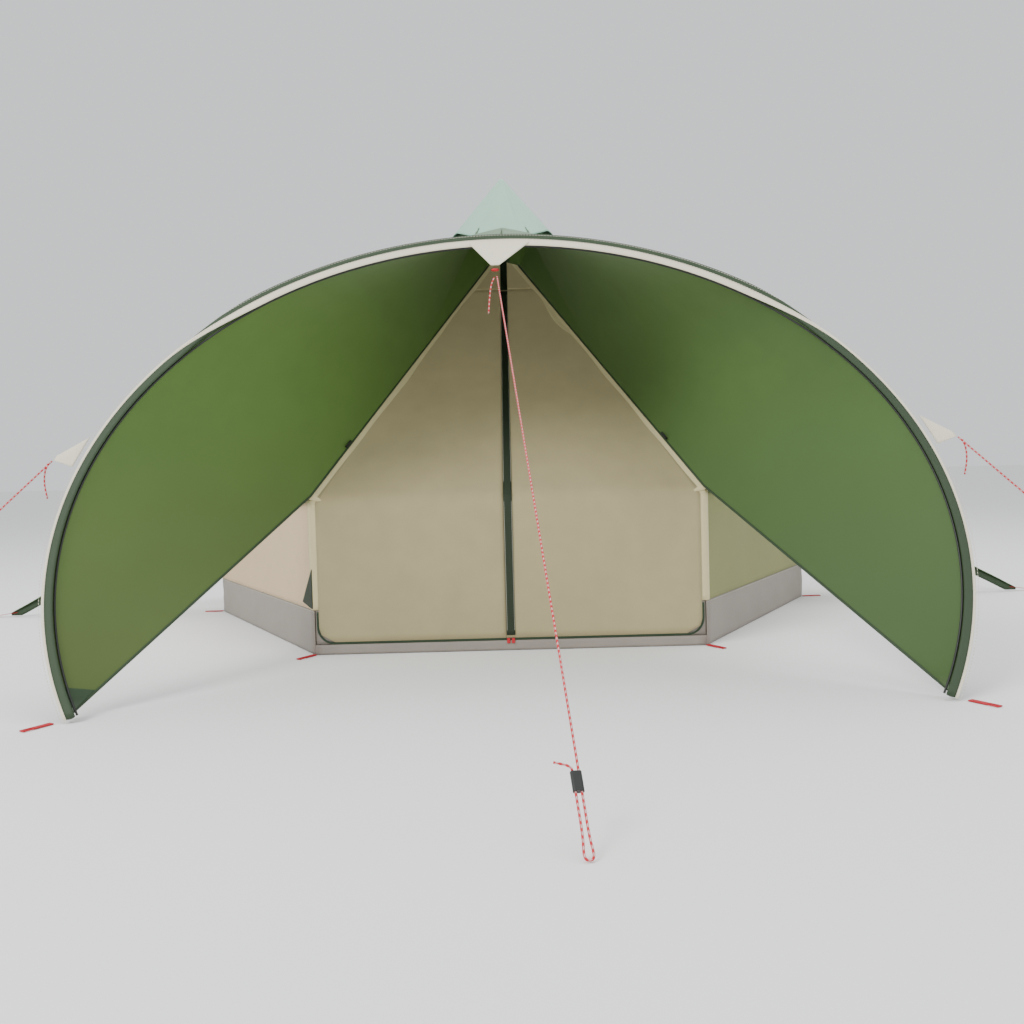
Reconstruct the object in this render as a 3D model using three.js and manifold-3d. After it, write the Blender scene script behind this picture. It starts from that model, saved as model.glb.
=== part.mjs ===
// Teepee tent with a hooped porch: a six-sided inner tent on one centre pole, a fly sheet over it,
// and two porch wings stretched between the inner tent's front hips and a bent hoop.
// Millimetres, +Z up, the front faces -Y, and the origin is on the ground under the peak.

import * as THREE from 'three';
import { mergeVertices } from 'three/addons/utils/BufferGeometryUtils.js';
import Module from 'manifold-3d';

const wasm = await Module();
wasm.setup();

// ---- driving dimensions ----
const CORNER_RADIUS = 1800; // centre to a floor corner
const WALL_HEIGHT = 710; // ground to the shoulder, where the walls meet the roof
const INNER_PEAK = 2180; // where the inner roof's planes meet
const FLY_PEAK = 2620; // top of the fly's cap
const TAIL_REACH = 3230; // centre to the end of a fly tail, or of a porch wing's webbing
const CAP_SHARE = 0.16; // the cap's radius as a share of the roof's
const BAND_HEIGHT = 205; // grey base band
const SILL_HEIGHT = 46; // base band under the door
const CLOTH = 3; // thickness of every cloth solid
const SEAM_GAP = 3; // left between two cloth edges at a corner or hip
const STACK_GAP = 1; // left between two pieces that lie on or above each other

const FLY_CLEARANCE = 25; // fly over the inner roof at the shoulder
const HIP_CLEARANCE = 20; // porch and fly over the inner tent's two front hips
const FRONT_RIDGE_END = 0.45; // share of the roof's radius where the fly meets the front hips
const HEM_SHARE = 1.02; // the fly's hem, as a share of the roof's radius

const HOOP_LEAN = THREE.MathUtils.degToRad(22); // from upright, towards the tent
const HOOP_FOOT_Y = -2690; // the hoop's feet, in front of the centre
const HOOP_HALF_WIDTH = 1645;
const HOOP_HALF_HEIGHT = 1332;
const HOOP_CENTRE_HEIGHT = 560; // centre of the hoop's ellipse, measured up the leaning plane
const HOOP_STEPS = 40;
const POLE_RADIUS = 5.5; // glass-fibre hoop pole
const SLEEVE_BORE = 7;
const SLEEVE_RADIUS = 13;
const BINDING_WIDTH = 24;

const DOOR_SPLIT = -20; // where the two door halves meet, so that the zip flap lies wholly on one
const DOOR_MARGIN = 20; // door edge to the corner seam
const ZIP_FLAP_WIDTH = 40;
const ZIP_TAPE = 9; // visible width of the bottom zip
const ZIP_TURN_UP = 150; // the bottom zip's upright end
const ZIP_TURN_RADIUS = 80;
const PULL_SIZE = new THREE.Vector3(14, 3, 24);

const MAST_RADIUS = 14;
const MAST_WALL = 2.5;
const MAST_JOINT = 1300; // height where the two pole halves meet
const SPIGOT_LENGTH = 90;
const FIT = 0.4; // radial clearance of the spigot, and of a rope in its bore
const FOOT_RADIUS = 30;
const FOOT_HEIGHT = 18;
const CAP_PLUG_HEIGHT = 24; // straight part of the plug under the cap
const CAP_PLUG_RIM = 3; // how far the plug stands out round the mast
const CAP_PLUG_TIP = 4; // radius of the plug's flat tip

const ROPE_RADIUS = 3;
const BEAK_TIP = new THREE.Vector3(-19, -2100, 1636);
const BEAK_WIDTH = 260;
const FRONT_PEG = new THREE.Vector3(174, -3959, ROPE_RADIUS + 0.5); // the front rope's lowest point
const SIDE_ROPE_PEG = new THREE.Vector3(2450, -2880, ROPE_RADIUS + 0.5); // right side, mirrored for the left
const STRAND_PITCH = 14; // between the two strands in the adjuster
const ADJUSTER_LENGTH = 50;
const ADJUSTER_ABOVE_PEG = 185; // adjuster's centre to the rope's lowest point
const LOOP_LENGTH = 120; // doubled rope below the strand's end

const WEBBING_WIDTH = 25;
const WEBBING_LENGTH = 110;
const WEBBING_THICKNESS = 4;

// ---- small helpers ----
const vec = (x, y, z) => new THREE.Vector3(x, y, z);
const lerp = THREE.MathUtils.lerp;
const UP = vec(0, 0, 1);
const mirrored = (point) => vec(-point.x, point.y, point.z);
const tent = new THREE.Group();

/** Adds a named mesh of one finish to the tent, or to a group inside it. */
function addPiece(name, geometry, finish, parent = tent) {
  const mesh = new THREE.Mesh(geometry, finish());
  mesh.name = name;
  parent.add(mesh);
  return mesh;
}

/** A finish is a function, so that every piece has a material of its own. */
function finish(color, roughness, metalness = 0) {
  return () => new THREE.MeshStandardMaterial({ color, roughness, metalness });
}
const greenCloth = finish(0x56753c, 0.75);
const mintCloth = finish(0xa6c4b4, 0.6);
const creamCloth = finish(0xe6e0cf, 0.8);
const sandCloth = finish(0xb3a88c, 0.85);
const greyCloth = finish(0x8d8a8a, 0.8);
const darkTrim = finish(0x22361f, 0.7);
const redWebbing = finish(0xb3141c, 0.7);
const guyLine = finish(0xd98a90, 0.75);
const blackPlastic = finish(0x20251f, 0.45);
const glassFibre = finish(0x1d1f1e, 0.35);
const steel = finish(0xb9bcbe, 0.35, 0.9);

/** A closed cloth solid that follows surface(u, v), u and v from 0 to 1, centred on it. */
function clothSheet(surface, columns, rows, thickness = CLOTH) {
  const points = [];
  const faces = [];
  const reach = 1e-3;
  const addPoint = (u, v, side) => {
    const across = surface(Math.min(u + reach, 1), v).sub(surface(Math.max(u - reach, 0), v));
    const along = surface(u, Math.min(v + reach, 1)).sub(surface(u, Math.max(v - reach, 0)));
    const normal = across.cross(along).normalize();
    points.push(surface(u, v).addScaledVector(normal, side * thickness / 2));
  };
  for (const side of [-1, 1]) {
    for (let j = 0; j <= rows; j += 1) {
      for (let i = 0; i <= columns; i += 1) addPoint(i / columns, j / rows, side);
    }
  }
  const layer = (columns + 1) * (rows + 1);
  const at = (top, i, j) => top * layer + j * (columns + 1) + i;
  const quad = (a, b, c, d) => faces.push(a, b, c, a, c, d);
  for (let i = 0; i < columns; i += 1) {
    quad(at(0, i, 0), at(0, i + 1, 0), at(1, i + 1, 0), at(1, i, 0));
    quad(at(0, i + 1, rows), at(0, i, rows), at(1, i, rows), at(1, i + 1, rows));
    for (let j = 0; j < rows; j += 1) {
      quad(at(1, i, j), at(1, i + 1, j), at(1, i + 1, j + 1), at(1, i, j + 1));
      quad(at(0, i + 1, j + 1), at(0, i + 1, j), at(0, i, j), at(0, i, j + 1));
    }
  }
  for (let j = 0; j < rows; j += 1) {
    quad(at(0, 0, j + 1), at(0, 0, j), at(1, 0, j), at(1, 0, j + 1));
    quad(at(0, columns, j), at(0, columns, j + 1), at(1, columns, j + 1), at(1, columns, j));
  }
  return new THREE.BufferGeometry().setFromPoints(points).setIndex(faces);
}

/** The point at share u between two points, kept an inset away from both. */
function between(a, b, u, startInset = SEAM_GAP, endInset = startInset) {
  const span = b.clone().sub(a);
  const length = span.length();
  return a.clone().addScaledVector(span, (startInset + (length - startInset - endInset) * u) / length);
}

/** A flat four-sided cloth panel between a low edge a-b and a high edge d-c. */
function flatPanel(a, b, c, d, startInset = SEAM_GAP, endInset = startInset) {
  const surface = (u, v) => between(a, b, u, startInset, endInset).lerp(between(d, c, u, startInset, endInset), v);
  return clothSheet(surface, 1, 1);
}

/** Removes one solid from another. */
function cutAway(geometry, tool) {
  const solids = [geometry, tool].map((source) => {
    const plain = source.clone();
    plain.deleteAttribute('normal');
    plain.deleteAttribute('uv');
    const merged = mergeVertices(plain, 1e-4);
    const mesh = new wasm.Mesh({
      numProp: 3,
      vertProperties: Float32Array.from(merged.getAttribute('position').array),
      triVerts: Uint32Array.from(merged.getIndex().array),
    });
    return new wasm.Manifold(mesh);
  });
  const result = solids[0].subtract(solids[1]).getMesh();
  const cut = new THREE.BufferGeometry();
  cut.setAttribute('position', new THREE.BufferAttribute(result.vertProperties, 3));
  cut.setIndex(new THREE.BufferAttribute(result.triVerts, 1));
  return cut;
}

/** Turns a geometry built along +Z so that +Z points along direction and +X lies as near as it can to side. */
function turnTowards(geometry, direction, side) {
  const z = direction.clone().normalize();
  const y = z.clone().cross(side).normalize();
  const x = y.clone().cross(z);
  return geometry.applyMatrix4(new THREE.Matrix4().makeBasis(x, y, z));
}

/** Extrudes an outline by a depth along +Z. */
function slab(outline, depth) {
  return new THREE.ExtrudeGeometry(outline, { depth, bevelEnabled: false, curveSegments: 8 });
}

// ---- the tent's lines ----
const FRONT_RIGHT = -60;
const FRONT_LEFT = 240;
const APOTHEM = CORNER_RADIUS * Math.cos(Math.PI / 6);
const ROOF_RISE = INNER_PEAK - WALL_HEIGHT;
const DOOR_EDGE = CORNER_RADIUS / 2 - DOOR_MARGIN;
const ZIP_END = DOOR_EDGE + STACK_GAP + ZIP_TAPE;

/** A point at a compass angle in degrees from +X, at a radius and a height. */
function compass(angle, radius, height) {
  const turn = THREE.MathUtils.degToRad(angle);
  return vec(radius * Math.cos(turn), radius * Math.sin(turn), height);
}

/** Height of the inner roof's hips where the radius is this share of the corner radius. */
const innerRoof = (share) => WALL_HEIGHT + ROOF_RISE * (1 - share);

/** The fly's ridge at a corner's angle; the two front ones come down to the inner hips. */
function flyRidge(angle, share) {
  const peakLift = FLY_PEAK - INNER_PEAK;
  const front = angle === FRONT_LEFT || angle === FRONT_RIGHT;
  const inwards = Math.max(0, 1 - share);
  const sideLift = FLY_CLEARANCE + (peakLift - FLY_CLEARANCE) * inwards ** 1.7;
  const frontLift = HIP_CLEARANCE + (peakLift - HIP_CLEARANCE) * Math.max(0, 1 - share / FRONT_RIDGE_END);
  return compass(angle, share * CORNER_RADIUS, innerRoof(share) + (front ? frontLift : sideLift));
}

/** A point on the hoop's ellipse, in its leaning plane; angle 0 is the top, and outset grows the ellipse. */
function hoopPoint(angle, outset = 0) {
  const height = HOOP_CENTRE_HEIGHT + (HOOP_HALF_HEIGHT + outset) * Math.cos(angle);
  const x = (HOOP_HALF_WIDTH + outset) * Math.sin(angle);
  return vec(x, HOOP_FOOT_Y + height * Math.sin(HOOP_LEAN), height * Math.cos(HOOP_LEAN));
}
const HOOP_FOOT_HEIGHT = 22; // the hoop's ends stop this far up the leaning plane
const HOOP_END = Math.acos((HOOP_FOOT_HEIGHT - HOOP_CENTRE_HEIGHT) / HOOP_HALF_HEIGHT);

/** The hoop's centre line, from the left foot over the top to the right foot. */
class HoopCurve extends THREE.Curve {
  getPoint(t) {
    return hoopPoint(lerp(-HOOP_END, HOOP_END, t));
  }
}

/** The panels of walls and roofs: a name and the compass angles of the two corners. */
const SIDES = [
  ['right_front', -60, 0],
  ['right_back', 0, 60],
  ['back', 60, 120],
  ['left_back', 120, 180],
  ['left_front', 180, 240],
];

// ---- inner tent ----
function hexagon(radius) {
  const corners = [0, 60, 120, 180, 240, 300].map((angle) => compass(angle, radius, 0));
  return new THREE.Shape(corners.map((corner) => new THREE.Vector2(corner.x, corner.y)));
}

function makeGroundsheet() {
  addPiece('groundsheet', slab(hexagon(CORNER_RADIUS - CLOTH - STACK_GAP), CLOTH), greyCloth);
}

/** One grey band all round the foot of the walls, low under the door. */
function makeBaseBand() {
  const halfWall = CLOTH / 2 / Math.cos(Math.PI / 6);
  const outline = hexagon(CORNER_RADIUS + halfWall);
  outline.holes.push(hexagon(CORNER_RADIUS - halfWall));
  const doorway = new THREE.BoxGeometry(2 * (ZIP_END + STACK_GAP), 20 * CLOTH, 2 * BAND_HEIGHT);
  doorway.translate(0, -APOTHEM, SILL_HEIGHT + BAND_HEIGHT);
  addPiece('base_band', cutAway(slab(outline, BAND_HEIGHT), doorway), greyCloth);
}

function makeWalls() {
  const low = BAND_HEIGHT + STACK_GAP;
  const high = WALL_HEIGHT - SEAM_GAP;
  for (const [name, start, end] of SIDES) {
    const corners = [
      compass(start, CORNER_RADIUS, low),
      compass(end, CORNER_RADIUS, low),
      compass(end, CORNER_RADIUS, high),
      compass(start, CORNER_RADIUS, high),
    ];
    addPiece(`wall_${name}`, flatPanel(...corners), sandCloth);
  }
}

const INNER_TOP_SHARE = 0.03; // the inner roof stops here, to let the mast through
const EAVE_SHARE = 1 - SEAM_GAP / CORNER_RADIUS;

function makeInnerRoof() {
  for (const [name, start, end] of SIDES) {
    const hip = (angle, share) => compass(angle, share * CORNER_RADIUS, innerRoof(share));
    const corners = [
      hip(start, EAVE_SHARE),
      hip(end, EAVE_SHARE),
      hip(end, INNER_TOP_SHARE),
      hip(start, INNER_TOP_SHARE),
    ];
    addPiece(`inner_roof_${name}`, flatPanel(...corners), sandCloth);
  }
}

// ---- doors ----
const SHOULDER = vec(CORNER_RADIUS / 2, -APOTHEM, WALL_HEIGHT);
const DOOR_TOP_SHARE = 0.205; // the doors end below the wings, so that they can swing
const ZIP_FLAP_TOP_SHARE = 0.215;

/** A point of the front roof plane at a share of the roof's radius and a sideways place. */
function frontRoof(share, x, lift = 0) {
  const slope = Math.hypot(APOTHEM, ROOF_RISE);
  const outward = vec(0, -ROOF_RISE / slope, APOTHEM / slope);
  return vec(x, -APOTHEM * share, innerRoof(share)).addScaledVector(outward, lift);
}

/** Stands an outline up in the front wall's plane; side -1 turns it round to the left. */
function upright(outline, side) {
  const panel = slab(outline, CLOTH).rotateX(Math.PI / 2).translate(0, CLOTH / 2, 0);
  return (side > 0 ? panel : panel.rotateZ(Math.PI)).translate(0, -APOTHEM, 0);
}

/** A door half is an upright panel with one rounded corner, and a roof panel above it. */
function makeDoor(side, name) {
  const split = DOOR_SPLIT + side * STACK_GAP / 2;
  const low = SILL_HEIGHT + ZIP_TAPE + 2 * STACK_GAP;
  const high = WALL_HEIGHT - SEAM_GAP;
  const radius = ZIP_TURN_RADIUS - ZIP_TAPE - STACK_GAP;
  const outline = new THREE.Shape();
  outline.moveTo(side * split, low);
  outline.lineTo(DOOR_EDGE - radius, low);
  outline.absarc(DOOR_EDGE - radius, low + radius, radius, -Math.PI / 2, 0, false);
  outline.lineTo(DOOR_EDGE, high);
  outline.lineTo(side * split, high);
  addPiece(`door_${name}_lower`, upright(outline, side), sandCloth);
  const upper = (u, v) => {
    const share = lerp(EAVE_SHARE, DOOR_TOP_SHARE, v);
    const hip = side * (CORNER_RADIUS / 2 * share - SEAM_GAP);
    return frontRoof(share, lerp(split, hip, u));
  };
  const facing = (surface) => (side > 0 ? surface : (u, v) => surface(1 - u, v));
  addPiece(`door_${name}_upper`, clothSheet(facing(upper), 2, 4), sandCloth);
}

/** The fixed piece of the front roof above the doors. */
function makeDoorHead() {
  const foot = DOOR_TOP_SHARE - SEAM_GAP / APOTHEM;
  const surface = (u, v) => {
    const share = lerp(foot, INNER_TOP_SHARE, v);
    const hip = CORNER_RADIUS / 2 * share - SEAM_GAP;
    return frontRoof(share, lerp(-hip, hip, u));
  };
  addPiece('door_head', clothSheet(surface, 1, 1), sandCloth);
}

/** The dark strip that covers the middle zip, sewn to the right door. */
function makeZipFlap() {
  const start = DOOR_SPLIT + STACK_GAP;
  const out = CLOTH + STACK_GAP;
  const low = SILL_HEIGHT + ZIP_TAPE + 2 * STACK_GAP + PULL_SIZE.z / 2;
  const high = WALL_HEIGHT - 2 * SEAM_GAP;
  const lower = (u, v) => vec(start + ZIP_FLAP_WIDTH * u, -APOTHEM - out, lerp(low, high, v));
  const upper = (u, v) => frontRoof(lerp(EAVE_SHARE, ZIP_FLAP_TOP_SHARE, v), start + ZIP_FLAP_WIDTH * u, out);
  addPiece('zip_flap_lower', clothSheet(lower, 1, 1), darkTrim);
  addPiece('zip_flap_upper', clothSheet(upper, 1, 1), darkTrim);
}

/** The zip under a door half, which turns up at the corner in an arc. */
function makeBottomZip(side, name) {
  const end = ZIP_END;
  const low = SILL_HEIGHT + STACK_GAP;
  const inner = ZIP_TURN_RADIUS - ZIP_TAPE;
  const start = side * DOOR_SPLIT + STACK_GAP;
  const outline = new THREE.Shape();
  outline.moveTo(start, low);
  outline.lineTo(end - ZIP_TURN_RADIUS, low);
  outline.absarc(end - ZIP_TURN_RADIUS, low + ZIP_TURN_RADIUS, ZIP_TURN_RADIUS, -Math.PI / 2, 0, false);
  outline.lineTo(end, low + ZIP_TURN_UP);
  outline.lineTo(end - ZIP_TAPE, low + ZIP_TURN_UP);
  outline.absarc(end - ZIP_TURN_RADIUS, low + ZIP_TURN_RADIUS, inner, 0, -Math.PI / 2, true);
  outline.lineTo(start, low + ZIP_TAPE);
  addPiece(`bottom_zip_${name}`, upright(outline, side), darkTrim);
}

function makeZipPull(side, name) {
  const pull = new THREE.BoxGeometry(PULL_SIZE.x, PULL_SIZE.y, PULL_SIZE.z);
  const mesh = addPiece(`zip_pull_${name}`, pull, redWebbing);
  const front = APOTHEM + CLOTH / 2 + STACK_GAP + PULL_SIZE.y / 2;
  const height = SILL_HEIGHT + STACK_GAP + ZIP_TAPE - PULL_SIZE.z / 2;
  mesh.position.set(side * (PULL_SIZE.x / 2 + 4), -front, height);
}

// ---- fly ----
function makeFlyRoof() {
  for (const [name, start, end] of SIDES) {
    const surface = (u, v) => {
      const share = lerp(HEM_SHARE, CAP_SHARE + SEAM_GAP / CORNER_RADIUS, v);
      return between(flyRidge(start, share), flyRidge(end, share), u, 2 * SEAM_GAP);
    };
    addPiece(`fly_roof_${name}`, clothSheet(surface, 2, 8), greenCloth);
  }
}

/** The peak's cap: a cone with the fly's curve, pulled down a little at the front, over the porch wings. */
function makeFlyCap() {
  const steps = 5;
  const sections = 12;
  const heightAt = (share) => flyRidge(0, share).z;
  const outer = [];
  const inner = [];
  for (let i = 0; i <= steps; i += 1) {
    const share = CAP_SHARE * i / steps;
    outer.push(new THREE.Vector2(share * CORNER_RADIUS, heightAt(share) + CLOTH / 2));
    inner.unshift(new THREE.Vector2(share * CORNER_RADIUS, heightAt(share) - CLOTH / 2));
  }
  const cap = new THREE.LatheGeometry([...inner.reverse(), ...outer.reverse()], sections);
  cap.rotateX(Math.PI / 2);
  cap.deleteAttribute('normal');
  cap.deleteAttribute('uv');
  const position = cap.getAttribute('position');
  for (let i = 0; i < position.count; i += 1) {
    const point = vec(position.getX(i), position.getY(i), position.getZ(i));
    const radius = Math.hypot(point.x, point.y);
    const fromFront = THREE.MathUtils.radToDeg(Math.abs(Math.atan2(point.x, -point.y)));
    if (fromFront < 31 && radius > 1) {
      const share = radius / CORNER_RADIUS;
      point.z += flyRidge(FRONT_LEFT, share).z - heightAt(share);
      position.setXYZ(i, point.x, point.y, point.z);
    }
  }
  addPiece('fly_cap', mergeVertices(cap, 1e-3), mintCloth);
}

const TAIL_HALF_WIDTH = 230;
const TAIL_TIP_HALF_WIDTH = WEBBING_WIDTH / 2;
const TAIL_END_HEIGHT = 14;

/** A fly tail runs from a shoulder down to its webbing, and narrows in a hollow curve. */
function makeFlyTail(angle, name) {
  const top = flyRidge(angle, HEM_SHARE + SEAM_GAP / CORNER_RADIUS);
  const tip = compass(angle, TAIL_REACH, TAIL_END_HEIGHT);
  const surface = (u, v) => {
    const sideways = 1 - 2 * u;
    const square = compass(angle - 90 * Math.sign(sideways), 1, 0);
    const hem = compass(angle - 120 * Math.sign(sideways), 1, 0);
    const direction = hem.lerp(square, Math.sqrt(v));
    const halfWidth = lerp(TAIL_TIP_HALF_WIDTH, TAIL_HALF_WIDTH, (1 - v) ** 1.6);
    return top.clone().lerp(tip, v).addScaledVector(direction, Math.abs(sideways) * halfWidth);
  };
  addPiece(`fly_tail_${name}`, clothSheet(surface, 2, 6), greenCloth);
}

// ---- porch ----
const RIM_PART = 0.1; // share of a wing's length that runs along the cap's rim
const HIP_PART = 0.6; // share of a wing's length where the hip ends and the free hem begins
const WING_FOLD = 50; // the wing leaves the hip over this width before it turns to the hoop
const WING_TOP_SHARE = 0.1;
const RIM_MARGIN = 12;
const HEM_END = TAIL_REACH - WEBBING_LENGTH - 80;
const HEM_END_HEIGHT = 30;

/** The wing's inner edge, on the left: cap, then front hip, then free hem. lifted gives the fly's own line. */
function wingInnerEdge(t, lifted) {
  const hipAt = (share) => {
    const lift = lifted ? flyRidge(FRONT_LEFT, share).z : innerRoof(share) + HIP_CLEARANCE;
    return compass(FRONT_LEFT, share * CORNER_RADIUS, lift);
  };
  const startShare = lifted ? CAP_SHARE + RIM_MARGIN / CORNER_RADIUS : WING_TOP_SHARE;
  if (t < RIM_PART) {
    const middle = vec(-SEAM_GAP / 2, -startShare * CORNER_RADIUS, hipAt(startShare).z + HIP_CLEARANCE);
    return middle.lerp(hipAt(startShare), t / RIM_PART);
  }
  if (t < HIP_PART) {
    return hipAt(lerp(startShare, 1, (t - RIM_PART) / (HIP_PART - RIM_PART)));
  }
  const end = compass(FRONT_LEFT, HEM_END, HEM_END_HEIGHT);
  return hipAt(1).lerp(end, (t - HIP_PART) / (1 - HIP_PART));
}

/** The left wing's surface: u from the middle of the roof to the foot, v from the hip to the hoop. */
function wingSurface(u, v) {
  const foldShare = 1 / 7;
  const hoop = hoopPoint(-lerp(0.004, HOOP_END * 0.985, u), -SLEEVE_RADIUS - 3 * SEAM_GAP);
  const hip = wingInnerEdge(u, false);
  const ridge = wingInnerEdge(u, true);
  const fold = ridge.clone().addScaledVector(hoop.clone().sub(ridge).normalize(), WING_FOLD);
  return v < foldShare ? hip.lerp(fold, v / foldShare) : fold.lerp(hoop, (v - foldShare) / (1 - foldShare));
}

function makePorchWings() {
  addPiece('porch_wing_left', clothSheet(wingSurface, 20, 7), greenCloth);
  const right = (u, v) => mirrored(wingSurface(u, v));
  addPiece('porch_wing_right', clothSheet(right, 20, 7), greenCloth);
}

function circle(radius, sides) {
  const corners = Array.from({ length: sides }, (_, i) => (i + 0.5) * 2 * Math.PI / sides);
  return corners.map((turn) => new THREE.Vector2(radius * Math.cos(turn), radius * Math.sin(turn)));
}

/** Extrudes an outline along a curve. */
function tube(outline, extrudePath, steps) {
  return new THREE.ExtrudeGeometry(outline, { steps, extrudePath, bevelEnabled: false });
}

function makeHoop() {
  const line = new HoopCurve();
  addPiece('hoop_pole', tube(new THREE.Shape(circle(POLE_RADIUS, 8)), line, HOOP_STEPS), glassFibre);
  const sleeve = new THREE.Shape(circle(SLEEVE_RADIUS, 8));
  sleeve.holes.push(new THREE.Path(circle(SLEEVE_BORE, 8).reverse()));
  addPiece('hoop_sleeve', tube(sleeve, line, HOOP_STEPS), darkTrim);
  const start = SLEEVE_RADIUS + SEAM_GAP;
  const binding = (u, v) => hoopPoint(lerp(HOOP_END, -HOOP_END, u), start + BINDING_WIDTH * v);
  addPiece('hoop_binding', clothSheet(binding, HOOP_STEPS, 1), creamCloth);
}

/** The cream point that hangs from the hoop's top and takes the front rope. */
function makeBeak() {
  const top = hoopPoint(0).add(vec(0, -SLEEVE_RADIUS - SEAM_GAP, 0));
  const along = vec(1, 0, 0);
  const tipHalfWidth = 16;
  const surface = (u, v) => {
    const middle = top.clone().lerp(BEAK_TIP, v);
    const halfWidth = lerp(BEAK_WIDTH / 2, tipHalfWidth, v);
    return middle.addScaledVector(along, lerp(halfWidth, -halfWidth, u));
  };
  addPiece('beak_patch', clothSheet(surface, 2, 2), creamCloth);
}

const RING_RADIUS = 12;
const RING_THICKNESS = 4;

function makeBeakRing() {
  const ring = addPiece('beak_ring', new THREE.TorusGeometry(RING_RADIUS, RING_THICKNESS, 6, 12), redWebbing);
  const drop = RING_RADIUS + RING_THICKNESS + CLOTH;
  ring.position.copy(BEAK_TIP).addScaledVector(UP, -drop);
}

const PATCH_HEIGHT = 130;
const PATCH_REACH = 95;
const PATCH_TIP_HALF_WIDTH = 10;
const PATCH_ANGLE = THREE.MathUtils.degToRad(71); // where on the hoop the side rope pulls, from the top

/** Where a side rope's patch leaves the hoop, where it ends and which way it is pulled, on the right side. */
function patchLine() {
  const start = SLEEVE_RADIUS + BINDING_WIDTH + 2 * SEAM_GAP;
  const root = hoopPoint(PATCH_ANGLE, start);
  const pull = SIDE_ROPE_PEG.clone().sub(root).normalize();
  const outward = hoopPoint(PATCH_ANGLE, start + 1).sub(root).add(pull).normalize();
  return { root, pull, tip: root.clone().addScaledVector(outward, PATCH_REACH) };
}

/** The cream triangle outside the hoop that a side rope pulls on. */
function makeSidePatch(side, name) {
  const { root, tip } = patchLine();
  const tangent = hoopPoint(PATCH_ANGLE - 0.01).sub(hoopPoint(PATCH_ANGLE + 0.01)).normalize();
  const surface = (u, v) => {
    const halfWidth = lerp(PATCH_HEIGHT / 2, PATCH_TIP_HALF_WIDTH, v);
    return root.clone().lerp(tip, v).addScaledVector(tangent, lerp(-halfWidth, halfWidth, u));
  };
  const facing = side > 0 ? surface : (u, v) => mirrored(surface(u, v));
  addPiece(`side_patch_${name}`, clothSheet(facing, 1, 1), creamCloth);
}

// ---- webbing ----
/** A flat red webbing strap on the ground, with a slot for a peg at its outer end. */
function makeWebbing(name, inner, outward) {
  const half = WEBBING_WIDTH / 2;
  const outline = new THREE.Shape();
  outline.moveTo(0, -half);
  outline.lineTo(WEBBING_LENGTH, -half);
  outline.lineTo(WEBBING_LENGTH, half);
  outline.lineTo(0, half);
  const slotHalf = half - 6;
  const slot = new THREE.Path();
  slot.moveTo(WEBBING_LENGTH - 40, -slotHalf);
  slot.lineTo(WEBBING_LENGTH - 40, slotHalf);
  slot.lineTo(WEBBING_LENGTH - 8, slotHalf);
  slot.lineTo(WEBBING_LENGTH - 8, -slotHalf);
  outline.holes.push(slot);
  const strap = addPiece(name, slab(outline, WEBBING_THICKNESS), redWebbing);
  strap.position.copy(inner);
  strap.rotation.z = outward;
}

function makeCornerWebbing() {
  const corners = { front_right: -60, right: 0, left: 180, front_left: 240 };
  for (const [name, angle] of Object.entries(corners)) {
    const inner = compass(angle, CORNER_RADIUS + 2 * CLOTH, 0);
    makeWebbing(`corner_webbing_${name}`, inner, THREE.MathUtils.degToRad(angle));
  }
}

function makeWingWebbing() {
  for (const [name, angle] of [['left', FRONT_LEFT], ['right', FRONT_RIGHT]]) {
    const inner = compass(angle, TAIL_REACH - WEBBING_LENGTH, 0);
    makeWebbing(`wing_webbing_${name}`, inner, THREE.MathUtils.degToRad(angle));
  }
}

// ---- toggles and badge ----
const TOGGLE_SHARE = 0.84; // where on the front hip the door is tied back
const TOGGLE_RADIUS = 6;
const TOGGLE_LENGTH = 46;
const TOGGLE_LIFT = 37; // over the front roof, between the open door and the wing

function makeToggle(side, name) {
  const shape = new THREE.CylinderGeometry(TOGGLE_RADIUS, TOGGLE_RADIUS, TOGGLE_LENGTH, 8);
  const toggle = addPiece(`door_toggle_${name}`, shape, darkTrim);
  const hip = vec(side * CORNER_RADIUS / 2, -APOTHEM, -ROOF_RISE).normalize();
  toggle.position.copy(frontRoof(TOGGLE_SHARE, side * CORNER_RADIUS / 2 * TOGGLE_SHARE, TOGGLE_LIFT));
  toggle.quaternion.setFromUnitVectors(vec(0, 1, 0), hip);
}

const BADGE_HEIGHT = 190;
const BADGE_WIDTH = 150;

/** A plain three-cornered patch on the left front wall, beside the door. */
function makeBadge() {
  const wall = compass(240, 1, 0).sub(compass(180, 1, 0)).normalize();
  const outward = compass(210, 1, 0);
  const corner = compass(240, CORNER_RADIUS, 0).addScaledVector(outward, CLOTH + STACK_GAP);
  const low = BAND_HEIGHT + 3;
  const outline = new THREE.Shape();
  outline.moveTo(0, 0);
  outline.lineTo(0, BADGE_HEIGHT);
  outline.quadraticCurveTo(-BADGE_WIDTH * 0.35, BADGE_HEIGHT * 0.7, -BADGE_WIDTH, BADGE_HEIGHT * 0.12);
  outline.lineTo(0, 0);
  const patch = addPiece('corner_badge', slab(outline, CLOTH / 2), darkTrim);
  const turn = new THREE.Matrix4().makeBasis(wall, UP, outward);
  patch.rotation.setFromRotationMatrix(turn);
  patch.position.copy(corner).addScaledVector(wall, -2 * SEAM_GAP).addScaledVector(UP, low);
}

// ---- centre mast ----
function lathed(profile, segments = 16) {
  const shape = new THREE.LatheGeometry(profile.map(([r, z]) => new THREE.Vector2(r, z)), segments);
  return shape.rotateX(Math.PI / 2);
}

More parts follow.
